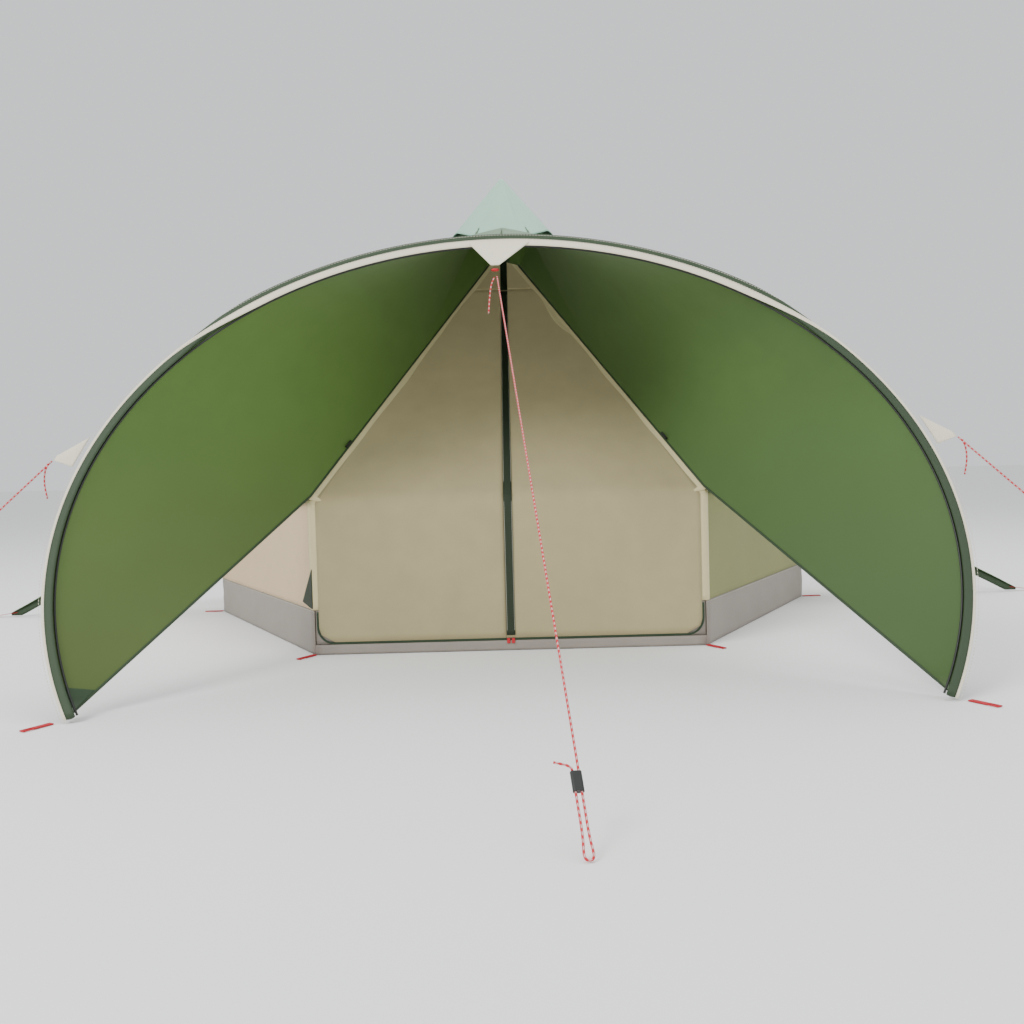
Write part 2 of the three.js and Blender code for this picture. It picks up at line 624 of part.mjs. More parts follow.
function makeMast() {
  const floor = CLOTH + STACK_GAP;
  const start = floor + FOOT_HEIGHT;
  const bore = MAST_RADIUS - MAST_WALL;
  const foot = [[0, floor], [FOOT_RADIUS, floor], [FOOT_RADIUS, floor + 8], [MAST_RADIUS + 4, start], [0, start]];
  addPiece('mast_foot', lathed(foot), blackPlastic);
  const low = start + STACK_GAP;
  const socket = MAST_JOINT - SPIGOT_LENGTH - 20;
  const lower = [
    [0, low], [MAST_RADIUS, low], [MAST_RADIUS, MAST_JOINT], [bore, MAST_JOINT], [bore, socket], [0, socket],
  ];
  addPiece('mast_lower', lathed(lower), steel);
  const capUnderside = (radius) => flyRidge(FRONT_LEFT, radius / CORNER_RADIUS).z - 2 * CLOTH;
  const plugRadius = MAST_RADIUS + CAP_PLUG_RIM;
  const plugShoulder = capUnderside(plugRadius);
  const plugTop = capUnderside(CAP_PLUG_TIP);
  const plugLow = plugShoulder - CAP_PLUG_HEIGHT;
  const mastTop = plugLow - STACK_GAP;
  const spigot = MAST_JOINT - SPIGOT_LENGTH;
  const shoulder = MAST_JOINT + STACK_GAP;
  const upper = [
    [0, spigot], [bore - FIT, spigot], [bore - FIT, shoulder], [MAST_RADIUS, shoulder], [MAST_RADIUS, mastTop], [0, mastTop],
  ];
  addPiece('mast_upper', lathed(upper), steel);
  const plug = [[0, plugLow], [plugRadius, plugLow], [plugRadius, plugShoulder], [CAP_PLUG_TIP, plugTop], [0, plugTop]];
  addPiece('mast_plug', lathed(plug), blackPlastic);
}

// ---- ropes ----
const ROPE_START = BEAK_TIP.clone().addScaledVector(UP, -2 * (RING_RADIUS + RING_THICKNESS) - 4 * CLOTH);
const ROPE_LINE = FRONT_PEG.clone().sub(ROPE_START).normalize();
const ROPE_LENGTH = FRONT_PEG.distanceTo(ROPE_START);
const ROPE_SIDE = ROPE_LINE.clone().cross(UP).normalize();

/** A point of the front rope's plane: how far above the peg, and how far sideways from the main strand. */
function ropePoint(abovePeg, sideways) {
  const place = FRONT_PEG.clone().addScaledVector(ROPE_LINE, -abovePeg);
  return place.addScaledVector(ROPE_SIDE, sideways - STRAND_PITCH / 2);
}

function straightRope(name, from, to) {
  const length = from.distanceTo(to);
  const rope = addPiece(name, new THREE.CylinderGeometry(ROPE_RADIUS, ROPE_RADIUS, length, 8), guyLine);
  rope.position.copy(from).lerp(to, 0.5);
  rope.quaternion.setFromUnitVectors(vec(0, 1, 0), to.clone().sub(from).normalize());
}

function ropeTube(name, points, steps, parent) {
  const line = new THREE.CatmullRomCurve3(points, false, 'centripetal');
  addPiece(name, tube(new THREE.Shape(circle(ROPE_RADIUS, 8)), line, steps), guyLine, parent);
}

// The doubled end of the front rope: above the peg, and sideways from the strand.
const LOOP_ROUTE = [
  [LOOP_LENGTH - 0.3, 0], [80, 0], [45, -1], [22, -3], [10, -3], [3, 0], [0, 7],
  [3, 14], [10, 17], [22, 17], [45, 15], [80, 14], [120, 14], [160, 14], [200, 14],
];

function makeFrontRope() {
  straightRope('front_rope_strand', ropePoint(ROPE_LENGTH, 0), ropePoint(LOOP_LENGTH, 0));
  ropeTube('front_rope_loop', LOOP_ROUTE.map((place) => ropePoint(...place)), 36);
  const bore = ROPE_RADIUS + FIT;
  const half = bore + 3;
  const outline = new THREE.Shape();
  outline.moveTo(0, -half);
  outline.lineTo(STRAND_PITCH, -half);
  outline.absarc(STRAND_PITCH, 0, half, -Math.PI / 2, Math.PI / 2, false);
  outline.lineTo(0, half);
  outline.absarc(0, 0, half, Math.PI / 2, 3 * Math.PI / 2, false);
  for (const x of [0, STRAND_PITCH]) {
    const hole = new THREE.Path();
    hole.absarc(x, 0, bore, 0, 2 * Math.PI, true);
    outline.holes.push(hole);
  }
  const body = slab(outline, ADJUSTER_LENGTH);
  body.translate(0, 0, -ADJUSTER_LENGTH / 2);
  turnTowards(body, ROPE_LINE, ROPE_SIDE);
  const adjuster = addPiece('rope_adjuster', body, blackPlastic);
  adjuster.position.copy(ropePoint(ADJUSTER_ABOVE_PEG, 0));
}

function makeSideRopes() {
  const { tip, pull } = patchLine();
  const start = tip.clone().addScaledVector(pull, PATCH_TIP_HALF_WIDTH + 2 * SEAM_GAP);
  straightRope('side_rope_right', start, SIDE_ROPE_PEG);
  straightRope('side_rope_left', mirrored(start), mirrored(SIDE_ROPE_PEG));
}

// ---- the whole tent ----
makeGroundsheet();
makeBaseBand();
makeWalls();
makeInnerRoof();
for (const [side, name] of [[-1, 'left'], [1, 'right']]) {
  makeDoor(side, name);
  makeBottomZip(side, name);
  makeZipPull(side, name);
  makeSidePatch(side, name);
  makeToggle(side, name);
}
makeDoorHead();
makeZipFlap();
makeFlyRoof();
makeFlyCap();
makeFlyTail(0, 'right');
makeFlyTail(60, 'back_right');
makeFlyTail(120, 'back_left');
makeFlyTail(180, 'left');
makePorchWings();
makeHoop();
makeBeak();
makeBeakRing();
makeCornerWebbing();
makeWingWebbing();
makeBadge();
makeMast();
makeFrontRope();
makeSideRopes();

export default tent;
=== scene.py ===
"""A teepee tent with a hooped porch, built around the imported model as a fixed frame, in metres."""

import math

import bmesh
import bpy
import numpy as np
from bpy.props import FloatProperty, FloatVectorProperty, PointerProperty
from mathutils import Matrix, Vector, noise


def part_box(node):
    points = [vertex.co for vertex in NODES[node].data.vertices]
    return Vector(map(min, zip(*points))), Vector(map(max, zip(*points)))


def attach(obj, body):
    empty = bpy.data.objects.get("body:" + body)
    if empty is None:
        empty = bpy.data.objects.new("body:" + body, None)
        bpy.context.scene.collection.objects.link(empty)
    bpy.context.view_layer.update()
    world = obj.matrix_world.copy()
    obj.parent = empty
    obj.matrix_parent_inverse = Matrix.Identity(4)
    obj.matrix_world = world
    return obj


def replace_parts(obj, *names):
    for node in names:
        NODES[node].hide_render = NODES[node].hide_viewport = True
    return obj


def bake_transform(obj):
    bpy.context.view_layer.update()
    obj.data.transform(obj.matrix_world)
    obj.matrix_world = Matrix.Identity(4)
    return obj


bl_info = {
    "name": "Teepee Tent",
    "version": (1, 0, 0),
    "blender": (4, 5, 0),
    "location": "View3D > Sidebar > Tent",
    "description": "Makes the cloth, ropes and fittings of a teepee tent with a hooped porch",
    "category": "Object",
}

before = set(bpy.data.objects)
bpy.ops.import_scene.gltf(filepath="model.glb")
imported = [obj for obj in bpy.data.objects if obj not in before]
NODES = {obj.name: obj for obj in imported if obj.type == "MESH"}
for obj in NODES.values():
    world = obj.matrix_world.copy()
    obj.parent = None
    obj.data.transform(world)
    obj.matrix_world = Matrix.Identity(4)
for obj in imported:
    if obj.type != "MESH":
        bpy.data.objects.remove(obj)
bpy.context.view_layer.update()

# ---- the tent's lines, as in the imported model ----
CORNER_RADIUS = 1.8
WALL_HEIGHT = 0.71
INNER_PEAK = 2.18
FLY_PEAK = 2.62
TAIL_REACH = 3.23
CAP_SHARE = 0.16
BAND_HEIGHT = 0.205
HIP_CLEARANCE = 0.020
FLY_CLEARANCE = 0.025
FRONT_RIDGE_END = 0.45
HEM_SHARE = 1.02
HOOP_LEAN = math.radians(22)
HOOP_FOOT_Y = -2.690
HOOP_HALF_WIDTH = 1.645
HOOP_HALF_HEIGHT = 1.332
HOOP_CENTRE_HEIGHT = 0.560
HOOP_FOOT_HEIGHT = 0.016
HOOP_TIP = math.acos((HOOP_FOOT_HEIGHT - HOOP_CENTRE_HEIGHT) / HOOP_HALF_HEIGHT)
APOTHEM = CORNER_RADIUS * math.cos(math.pi / 6)
ROOF_RISE = INNER_PEAK - WALL_HEIGHT
FRONT_LEFT, FRONT_RIGHT = 240, -60
DOOR_SPLIT = -0.020
DOOR_EDGE = 0.880
DOOR_LOW = 0.057
TAPE = 0.0015  # thickness of seam and hem tapes
RIBBON = 0.0018  # thickness of the hoop's bands and the zip flap
FLAP_WIDTH = 0.040
FLAP_LIFT = 0.004
DOOR_TOP_SHARE = 0.205
FLAP_TOP_SHARE = 0.215
FRONT_PEG = np.array((0.174, -3.959, 0.003))
SIDE_PEG = np.array((2.450, -2.880, 0.003))
STRAND_PITCH = 0.014
THREAD_RADIUS = 0.0009
UP = np.array((0.0, 0.0, 1.0))
BEAK_TIP = np.array((-0.019, -2.100, 1.636))


class TentSettings(bpy.types.PropertyGroup):
    """Sizes and colours that can be changed."""

    cloth_thickness: FloatProperty(
        name="Cloth thickness",
        description="Thickness of the cloth shells",
        default=0.002,
        min=0.0005,
        unit="LENGTH",
    )
    wrinkle: FloatProperty(
        name="Wrinkle height",
        description="Height of the folds in the cloth",
        default=0.006,
        min=0.0,
        unit="LENGTH",
    )
    rope_diameter: FloatProperty(
        name="Rope diameter",
        description="Diameter of the guy ropes",
        default=0.006,
        min=0.002,
        unit="LENGTH",
    )
    stitch_gap: FloatProperty(
        name="Stitch pitch",
        description="From one stitch to the next",
        default=0.012,
        min=0.004,
        unit="LENGTH",
    )
    fly_outer: FloatVectorProperty(
        name="Fly, outside",
        description="Weather side of the fly",
        default=(0.075, 0.150, 0.062),
        subtype="COLOR",
    )
    fly_inner: FloatVectorProperty(
        name="Fly, inside",
        description="Underside of the fly",
        default=(0.100, 0.190, 0.045),
        subtype="COLOR",
    )
    sand: FloatVectorProperty(
        name="Inner tent",
        description="Cloth of the inner tent",
        default=(0.300, 0.255, 0.138),
        subtype="COLOR",
    )
    # painted light: the cap is the fly's own green cloth, painted pale where strong light falls on it from
    # above
    green_painted_lit: FloatVectorProperty(
        name="Cap",
        description="Cloth of the peak's cap",
        default=(0.270, 0.480, 0.360),
        subtype="COLOR",
    )


# ---- shapes ----
def compass(angle, radius, height):
    """A point at a compass angle in degrees from +X."""
    turn = np.radians(angle)
    return np.stack(np.broadcast_arrays(radius * np.cos(turn), radius * np.sin(turn), height), axis=-1)


def inner_roof(share):
    """Height of the inner roof at a share of its radius, which is 1 at the shoulder."""
    return WALL_HEIGHT + ROOF_RISE * (1 - share)


def fly_ridge(angle, share):
    """The fly's ridge at a corner's angle; the two front ones come down to the inner hips."""
    lift = FLY_PEAK - INNER_PEAK
    side = FLY_CLEARANCE + (lift - FLY_CLEARANCE) * np.maximum(0, 1 - share) ** 1.7
    front = HIP_CLEARANCE + (lift - HIP_CLEARANCE) * np.maximum(0, 1 - share / FRONT_RIDGE_END)
    rise = front if angle in (FRONT_LEFT, FRONT_RIGHT) else side
    return compass(angle, share * CORNER_RADIUS, inner_roof(share) + rise)


def hoop_point(angle, outset=0.0):
    """A point on the hoop's ellipse; angle 0 is the top, and outset grows the ellipse in its plane."""
    height = HOOP_CENTRE_HEIGHT + (HOOP_HALF_HEIGHT + outset) * np.cos(angle)
    x = (HOOP_HALF_WIDTH + outset) * np.sin(angle)
    y = HOOP_FOOT_Y + height * math.sin(HOOP_LEAN)
    return np.stack(np.broadcast_arrays(x, y, height * math.cos(HOOP_LEAN)), axis=-1)


def front_roof(share, x, lift=0.0):
    """A point of the front roof plane at a share of its run and a sideways place."""
    slope = math.hypot(APOTHEM, ROOF_RISE)
    y = -APOTHEM * share - lift * ROOF_RISE / slope
    z = inner_roof(share) + lift * APOTHEM / slope
    return np.stack(np.broadcast_arrays(x, y, z), axis=-1)


def mix(a, b, t):
    """From a to b as t goes from 0 to 1."""
    return a + (b - a) * t


def ripple(points, scale, height, seed=0.0):
    """Smooth noise at each point, for folds and sags."""
    flat = points.reshape(-1, 3)
    values = [noise.noise(Vector(p) * scale + Vector((seed, seed * 1.7, -seed))) for p in flat]
    return np.array(values).reshape(points.shape[:-1]) * height


def normals_of(grid):
    """The direction that each point of a grid faces."""
    across = np.gradient(grid, axis=1)
    along = np.gradient(grid, axis=0)
    normal = np.cross(across, along)
    return normal / np.maximum(np.linalg.norm(normal, axis=-1, keepdims=True), 1e-12)


def grid_parameters(columns, rows):
    """u runs across and v along, both from 0 to 1."""
    u, v = np.meshgrid(np.linspace(0, 1, columns + 1), np.linspace(0, 1, rows + 1))
    return u, v


def link(obj):
    """Puts an object in the scene."""
    bpy.context.scene.collection.objects.link(obj)
    return obj


def facing(grid, side):
    """The grid as it is on side 1, and turned over on side -1, so that its outer side stays outside."""
    return grid if side > 0 else grid[:, ::-1]


def new_object(name, vertices, faces, materials, indices=None, uvs=None, smooth=None):
    """A mesh object at the origin, with its place in its mesh."""
    mesh = bpy.data.meshes.new(name)
    mesh.from_pydata([tuple(p) for p in vertices], [], faces)
    for material in materials:
        mesh.materials.append(material)
    if indices is not None:
        mesh.polygons.foreach_set("material_index", indices)
    mesh.polygons.foreach_set("use_smooth", [True] * len(faces) if smooth is None else smooth)
    if uvs is not None:
        layer = mesh.uv_layers.new(name="Cloth")
        loops = np.zeros(len(mesh.loops), dtype=np.int64)
        mesh.loops.foreach_get("vertex_index", loops)
        layer.data.foreach_set("uv", np.asarray(uvs, dtype=np.float32)[loops].ravel())
    mesh.update()
    return link(bpy.data.objects.new(name, mesh))


def cloth_shell(name, grid, thickness, outer, inner=None, edge=None, share_uv=False):
    """A closed cloth shell on a grid of points. Its outer side faces across x along; UVs are in metres."""
    rows, columns = grid.shape[0] - 1, grid.shape[1] - 1
    normal = normals_of(grid)
    layers = [grid + normal * thickness / 2, grid - normal * thickness / 2]
    count = (rows + 1) * (columns + 1)
    vertices = np.concatenate([layer.reshape(-1, 3) for layer in layers])
    if share_uv:
        u, v = grid_parameters(columns, rows)
    else:
        across, along = (np.linalg.norm(np.diff(grid, axis=axis), axis=-1) for axis in (1, 0))
        u = np.concatenate([np.zeros((rows + 1, 1)), np.cumsum(across, axis=1)], axis=1)
        v = np.concatenate([np.zeros((1, columns + 1)), np.cumsum(along, axis=0)], axis=0)
    uv = np.stack([u, v], axis=-1).reshape(-1, 2)
    faces, indices, smooth = [], [], []

    def at(layer, j, i):
        return layer * count + j * (columns + 1) + i

    for j in range(rows):
        for i in range(columns):
            faces.append((at(0, j, i), at(0, j, i + 1), at(0, j + 1, i + 1), at(0, j + 1, i)))
            faces.append((at(1, j, i), at(1, j + 1, i), at(1, j + 1, i + 1), at(1, j, i + 1)))
            indices += [0, 1]
            smooth += [True, True]
    rim = [((0, i), (0, i + 1)) for i in range(columns)]
    rim += [((j, columns), (j + 1, columns)) for j in range(rows)]
    rim += [((rows, i + 1), (rows, i)) for i in range(columns)]
    rim += [((j + 1, 0), (j, 0)) for j in range(rows)]
    for (ja, ia), (jb, ib) in rim:
        faces.append((at(1, ja, ia), at(1, jb, ib), at(0, jb, ib), at(0, ja, ia)))
        indices.append(2)
        smooth.append(False)
    materials = [outer, inner or outer, edge or outer]
    return new_object(name, vertices, faces, materials, indices, np.concatenate([uv, uv]), smooth)


def sweep(name, path, radius, material, sides=12):
    """A round tube along a path of points, with capped ends and UVs in metres."""
    path = np.asarray(path, dtype=float)
    tangent = np.gradient(path, axis=0)
    tangent /= np.linalg.norm(tangent, axis=1, keepdims=True)
    side = np.cross(tangent[0], (0.0, 0.0, 1.0))
    if np.linalg.norm(side) < 1e-3:
        side = np.array((1.0, 0.0, 0.0))
    vertices, uvs = [], []
    run = 0.0
    for k, point in enumerate(path):
        side = side - tangent[k] * np.dot(side, tangent[k])
        side /= np.linalg.norm(side)
        other = np.cross(tangent[k], side)
        if k:
            run += np.linalg.norm(point - path[k - 1])
        for i in range(sides):
            turn = 2 * math.pi * i / sides
            vertices.append(point + radius * (math.cos(turn) * side + math.sin(turn) * other))
            uvs.append((abs(2 * i / sides - 1), run))
    faces = []
    rings = len(path)
    for low in range(0, (rings - 1) * sides, sides):
        for i in range(sides):
            j = (i + 1) % sides
            faces.append((low + i, low + j, low + sides + j, low + sides + i))
    faces.append(tuple(reversed(range(sides))))
    faces.append(tuple((rings - 1) * sides + i for i in range(sides)))
    return new_object(name, vertices, faces, [material], uvs=uvs)


def length_of(path):
    """Length along a path of points."""
    return float(np.linalg.norm(np.diff(np.asarray(path), axis=0), axis=1).sum())


def area_of(grid):
    """Area of a grid's faces, each as two triangles."""
    near, right, far, left = grid[:-1, :-1], grid[:-1, 1:], grid[1:, 1:], grid[1:, :-1]
    halves = (np.cross(right - near, left - near), np.cross(right - far, left - far))
    return float(sum(np.linalg.norm(half, axis=-1).sum() / 2 for half in halves))


def declare_sheet(grid):
    """Works out a cloth piece's width, height and area from its grid, and keeps none of them."""
    width = max(length_of(row) for row in grid)
    height = max(length_of(grid[:, i]) for i in range(grid.shape[1]))
    min(area_of(grid), width * height)


def settle(obj, body, slot, *nodes):
    """Puts a finished piece on its body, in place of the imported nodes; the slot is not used."""
    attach(obj, body)
    if nodes:
        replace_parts(obj, *nodes)
    return obj


# ---- materials ----
class Socket:
    """Wraps a node socket, so that shader maths reads as an expression."""

    def __init__(self, tree, output):
        self.tree, self.output = tree, output

    def math(self, operation, *others, clamp=False):
        node = self.tree.nodes.new("ShaderNodeMath")
        node.operation, node.use_clamp = operation, clamp
        for slot, value in zip(node.inputs, (self, *others)):
            if isinstance(value, Socket):
                self.tree.links.new(value.output, slot)
            else:
                slot.default_value = value
        return Socket(self.tree, node.outputs[0])

    def __add__(self, other):
        return self.math("ADD", other)

    __radd__ = __add__

    def __mul__(self, other):
        return self.math("MULTIPLY", other)

    __rmul__ = __mul__

    def __sub__(self, other):
        return self.math("SUBTRACT", other)

    def __rsub__(self, other):
        return (self * -1.0) + other

    def above(self, value):
        return self.math("GREATER_THAN", value)

    def clamped(self):
        return self.math("ADD", 0.0, clamp=True)


class Finish:
    """A material under construction."""

    def __init__(self, name, roughness, metallic=0.0, coat=0.0, sheen=0.0):
        self.material = bpy.data.materials.new(name)
        self.material.use_nodes = True
        self.tree = self.material.node_tree
        self.shader = self.tree.nodes["Principled BSDF"]
        self.shader.inputs["Roughness"].default_value = roughness
        self.shader.inputs["Metallic"].default_value = metallic
        self.shader.inputs["Coat Weight"].default_value = coat
        self.shader.inputs["Sheen Weight"].default_value = sheen

    def node(self, kind, settings=None, output=0, **sockets):
        """Adds a node with its settings first, then the values or links of its sockets."""
        made = self.tree.nodes.new(kind)
        for key, value in (settings or {}).items():
            setattr(made, key, value)
        for key, value in sockets.items():
            slot = made.inputs[key.replace("_", " ")]
            if isinstance(value, Socket):
                self.tree.links.new(value.output, slot)
            else:
                slot.default_value = value
        return Socket(self.tree, made.outputs[output])

    def object_place(self):
        return self.node("ShaderNodeTexCoord", output=3)

    def uv(self):
        return self.node("ShaderNodeTexCoord", output=2)

    def split(self, vector):
        made = self.tree.nodes.new("ShaderNodeSeparateXYZ")
        self.tree.links.new(vector.output, made.inputs[0])
        return [Socket(self.tree, out) for out in made.outputs]

    def noise(self, place, scale, detail=4.0):
        return self.node("ShaderNodeTexNoise", Vector=place, Scale=scale, Detail=detail)

    def blend_colors(self, factor, a, b):
        made = self.tree.nodes.new("ShaderNodeMix")
        made.data_type = "RGBA"
        for slot, value in ((made.inputs["Factor"], factor), (made.inputs[6], a), (made.inputs[7], b)):
            if isinstance(value, Socket):
                self.tree.links.new(value.output, slot)
            elif isinstance(value, float):
                slot.default_value = value
            else:
                slot.default_value = (*value, 1.0)
        return Socket(self.tree, made.outputs[2])

    def color(self, value):
        self.tree.links.new(value.output, self.shader.inputs["Base Color"])

    def roughness(self, value):
        self.tree.links.new(value.output, self.shader.inputs["Roughness"])

    def glow(self, value, strength):
        """Light that comes through the cloth from behind."""
        self.tree.links.new(value.output, self.shader.inputs["Emission Color"])
        self.shader.inputs["Emission Strength"].default_value = strength

    def bump(self, height, strength=0.3, distance=0.001):
        bumped = self.node("ShaderNodeBump", Height=height, Strength=strength, Distance=distance)
        self.tree.links.new(bumped.output, self.shader.inputs["Normal"])


def shade(color, factor):
    """A colour made darker or lighter."""
    return tuple(min(1.0, c * factor) for c in color)


def weave(finish, pitch):
    """Height of a plain weave with this thread pitch, from the UVs in metres."""
    x, y, _ = finish.split(finish.uv())
    warp = (x * (2 * math.pi / pitch)).math("SINE")
    weft = (y * (2 * math.pi / pitch)).math("SINE")
    return warp * weft


def cloth(name, color, roughness=0.75, variation=0.12, sheen=0.1, pitch=0.0024, creases=0.5, glow=0.0):
    """Woven cloth: colour that drifts, a fine weave and soft creases."""
    finish = Finish(name, roughness, sheen=sheen)
    place = finish.object_place()
    drift = finish.noise(place, 1.6, 3.0)
    cloud = finish.noise(place, 11.0, 5.0)
    threads = weave(finish, pitch)
    tone = (drift * 0.65 + cloud * 0.35 + threads * 0.06).clamped()
    tint = finish.blend_colors(tone, shade(color, 1 - 2 * variation), shade(color, 1 + 2 * variation))
    finish.color(tint)
    # painted light: an optional glow in the cloth's own tint stands in for light that comes through the cloth
    if glow:
        finish.glow(tint, glow)
    finish.roughness((cloud * 0.12 + (roughness - 0.06)).clamped())
    crease = finish.noise(place, 5.5, 6.0)
    finish.bump(crease * creases * 8.0 + threads * 0.25, 0.35, 0.0015)
    return finish.material


def webbing(name, color):
    """Flat webbing with a rib across it."""
    finish = Finish(name, 0.7)
    place = finish.object_place()
    x, y, z = finish.split(place)
    rib = ((x + y + z) * (2 * math.pi / 0.0032)).math("SINE")
    fuzz = finish.noise(place, 220.0, 3.0)
    tone = (rib * 0.25 + fuzz * 0.6).clamped()
    finish.color(finish.blend_colors(tone, shade(color, 0.75), shade(color, 1.2)))
    finish.bump(rib + fuzz, 0.5, 0.0006)
    return finish.material


def rope_braid(name, light, dark):
    """Two-coloured braid that spirals round the rope."""
    finish = Finish(name, 0.75)
    x, y, _ = finish.split(finish.uv())
    one = ((x * 2.0 + y * 60.0) * math.pi).math("SINE")
    two = ((x * 2.0 - y * 60.0) * math.pi).math("SINE")
    strands = (one * two).above(-0.30)
    finish.color(finish.blend_colors(strands, light, dark))
    finish.bump((x * 16.0 + y * 900.0).math("SINE"), 0.5, 0.0006)
    return finish.material


def moulded(name, color, roughness=0.45, metallic=0.0, coat=0.0, grain=90.0):
    """Moulded plastic or drawn metal: a fine grain and scuffs."""
    finish = Finish(name, roughness, metallic=metallic, coat=coat)
    place = finish.object_place()
    speck = finish.noise(place, grain, 5.0)
    scuff = finish.noise(place, 14.0, 6.0)
    tone = (speck * 0.5 + scuff * 0.5).clamped()
    finish.color(finish.blend_colors(tone, shade(color, 0.85), shade(color, 1.2)))
    finish.roughness((scuff * 0.2 + (roughness - 0.1)).clamped())
    finish.bump(speck, 0.2, 0.0004)
    return finish.material


def wing_underside(name, color, brown, trim):
    """The porch's underside, with painted light: a glow for the light through the cloth, and the cloth
    painted browner and dimmer low down, where less light comes through; and a dark corner at the foot.
    """
    finish = Finish(name, 0.7, sheen=0.1)
    place = finish.object_place()
    _, _, height = finish.split(place)
    along, _, _ = finish.split(finish.uv())
    drift = finish.noise(place, 1.3, 4.0)
    cloud = finish.noise(place, 9.0, 5.0)
    tone = (drift * 0.7 + cloud * 0.3).clamped()
    green = finish.blend_colors(tone, shade(color, 0.72), shade(color, 1.25))
    # painted light: the lower part is painted browner and dimmer, for less light coming through the cloth
    # there
    low = (1.1 - height * 1.1 + cloud * 0.3).clamped()
    body = finish.blend_colors(low, green, brown)
    corner = (along + cloud * 0.004).above(0.964)
    tint = finish.blend_colors(corner, body, trim)
    finish.color(tint)
    finish.glow(tint, 0.10)
    crease = finish.noise(place, 4.5, 6.0)
    finish.bump(crease * 4.0, 0.4, 0.002)
    return finish.material


MATERIALS = {}


def make_materials():
    """Every finish, by a short name."""
    s = settings()
    sand, green = tuple(s.sand), tuple(s.fly_outer)
    trim = (0.022, 0.050, 0.020)
    MATERIALS.update(
        # painted light: each glow below is emission in the cloth's own tint, standing in for light that comes
        # through the cloth
        fly_outer=cloth("fly_outer_cloth", green, 0.6, 0.1),
        fly_inner=cloth("fly_inner_cloth", tuple(s.fly_inner), 0.75, 0.14, glow=0.2),
        # painted light: both wings are one cloth; the right underside is painted darker than the left, as
        # less light falls on it
        wing_left=wing_underside("wing_left_cloth", (0.074, 0.150, 0.024), (0.072, 0.110, 0.022), trim),
        wing_right=wing_underside("wing_right_cloth", (0.058, 0.118, 0.023), (0.044, 0.088, 0.019), trim),
        # painted light: the cap cloth's pale colour is light painted on the fly's green, with a glow besides
        cap=cloth("cap_cloth", tuple(s.green_painted_lit), 0.5, 0.08, 0.15, glow=0.1),
        band=cloth("hoop_band_cloth", (0.022, 0.046, 0.016), 0.65, 0.12),
        cream=cloth("cream_cloth", (0.720, 0.680, 0.520), 0.75, 0.05, glow=0.08),
        seam=cloth("seam_tape", (0.560, 0.490, 0.270), 0.8, 0.08, pitch=0.0035, glow=0.15),
        # painted light: the sand cloth glows strongly so that the doors stay evenly bright in the porch's
        # shade
        sand=cloth("inner_sand_cloth", sand, 0.85, 0.11, creases=0.9, glow=0.34),
        # painted light: the left front wall is the sand cloth painted brighter, as the light falls on it from
        # the left
        sand_left=cloth("inner_wall_lit_cloth", (0.520, 0.390, 0.235), 0.85, 0.08, glow=0.2),
        # painted light: the right front wall is the sand cloth painted a dull dark green, for shade lit by
        # light that comes back green from the fly
        olive=cloth("inner_olive_cloth", (0.195, 0.200, 0.070), 0.85, 0.1, glow=0.15),
        grey=cloth("band_grey_cloth", (0.270, 0.238, 0.205), 0.75, 0.12, creases=1.2),
        trim=webbing("trim_green_webbing", (0.024, 0.052, 0.022)),
        red=webbing("red_webbing", (0.560, 0.010, 0.022)),
        rope=rope_braid("guy_rope_braid", (0.700, 0.560, 0.540), (0.560, 0.006, 0.018)),
        black=moulded("black_plastic", (0.014, 0.016, 0.014)),
        fibre=moulded("glass_fibre", (0.020, 0.022, 0.022), 0.3, coat=0.4, grain=300.0),
        steel=moulded("mast_steel", (0.560, 0.570, 0.580), 0.32, metallic=0.95, grain=160.0),
        flap=webbing("flap_green_cloth", (0.016, 0.028, 0.010)),
        teeth=moulded("zip_coil", (0.020, 0.030, 0.016), 0.4, grain=400.0),
        thread=moulded("stitch_thread", (0.620, 0.600, 0.500), 0.8, grain=500.0),
    )


def settings():
    """The sizes and colours that the panel shows."""
    return bpy.context.scene.teepee_tent


# ---- stitches ----
def stitch_tree():
    """A node tree that lays short threads along a curve."""
    tree = bpy.data.node_groups.new("Stitch Row", "GeometryNodeTree")
    socket = tree.interface.new_socket
    socket("Geometry", in_out="INPUT", socket_type="NodeSocketGeometry")
    pitch = socket("Pitch", in_out="INPUT", socket_type="NodeSocketFloat")
    thread = socket("Thread", in_out="INPUT", socket_type="NodeSocketFloat")
    paint = socket("Material", in_out="INPUT", socket_type="NodeSocketMaterial")
    socket("Geometry", in_out="OUTPUT", socket_type="NodeSocketGeometry")
    make = tree.nodes.new
    source, result = make("NodeGroupInput"), make("NodeGroupOutput")
    resample = make("GeometryNodeResampleCurve")
    resample.mode = "LENGTH"
    points = make("GeometryNodeInstanceOnPoints")
    tangent = make("GeometryNodeInputTangent")
    align = make("FunctionNodeAlignEulerToVector")
    align.axis = "Z"
    shape = make("GeometryNodeMeshCylinder")
    shape.inputs["Vertices"].default_value = 6
    half = make("ShaderNodeMath")
    half.operation = "MULTIPLY"
    half.inputs[1].default_value = 0.6
    realize, finish = make("GeometryNodeRealizeInstances"), make("GeometryNodeSetMaterial")
    link = tree.links.new
    link(source.outputs["Geometry"], resample.inputs["Curve"])
    link(source.outputs["Pitch"], resample.inputs["Length"])
    link(source.outputs["Pitch"], half.inputs[0])
    link(half.outputs[0], shape.inputs["Depth"])
    link(source.outputs["Thread"], shape.inputs["Radius"])
    link(resample.outputs["Curve"], points.inputs["Points"])
    link(tangent.outputs[0], align.inputs["Vector"])
    link(align.outputs[0], points.inputs["Rotation"])
    link(shape.outputs["Mesh"], points.inputs["Instance"])
    link(points.outputs["Instances"], realize.inputs["Geometry"])
    link(realize.outputs["Geometry"], finish.inputs["Geometry"])
    link(source.outputs["Material"], finish.inputs["Material"])
    link(finish.outputs["Geometry"], result.inputs["Geometry"])
    return tree, pitch.identifier, thread.identifier, paint.identifier


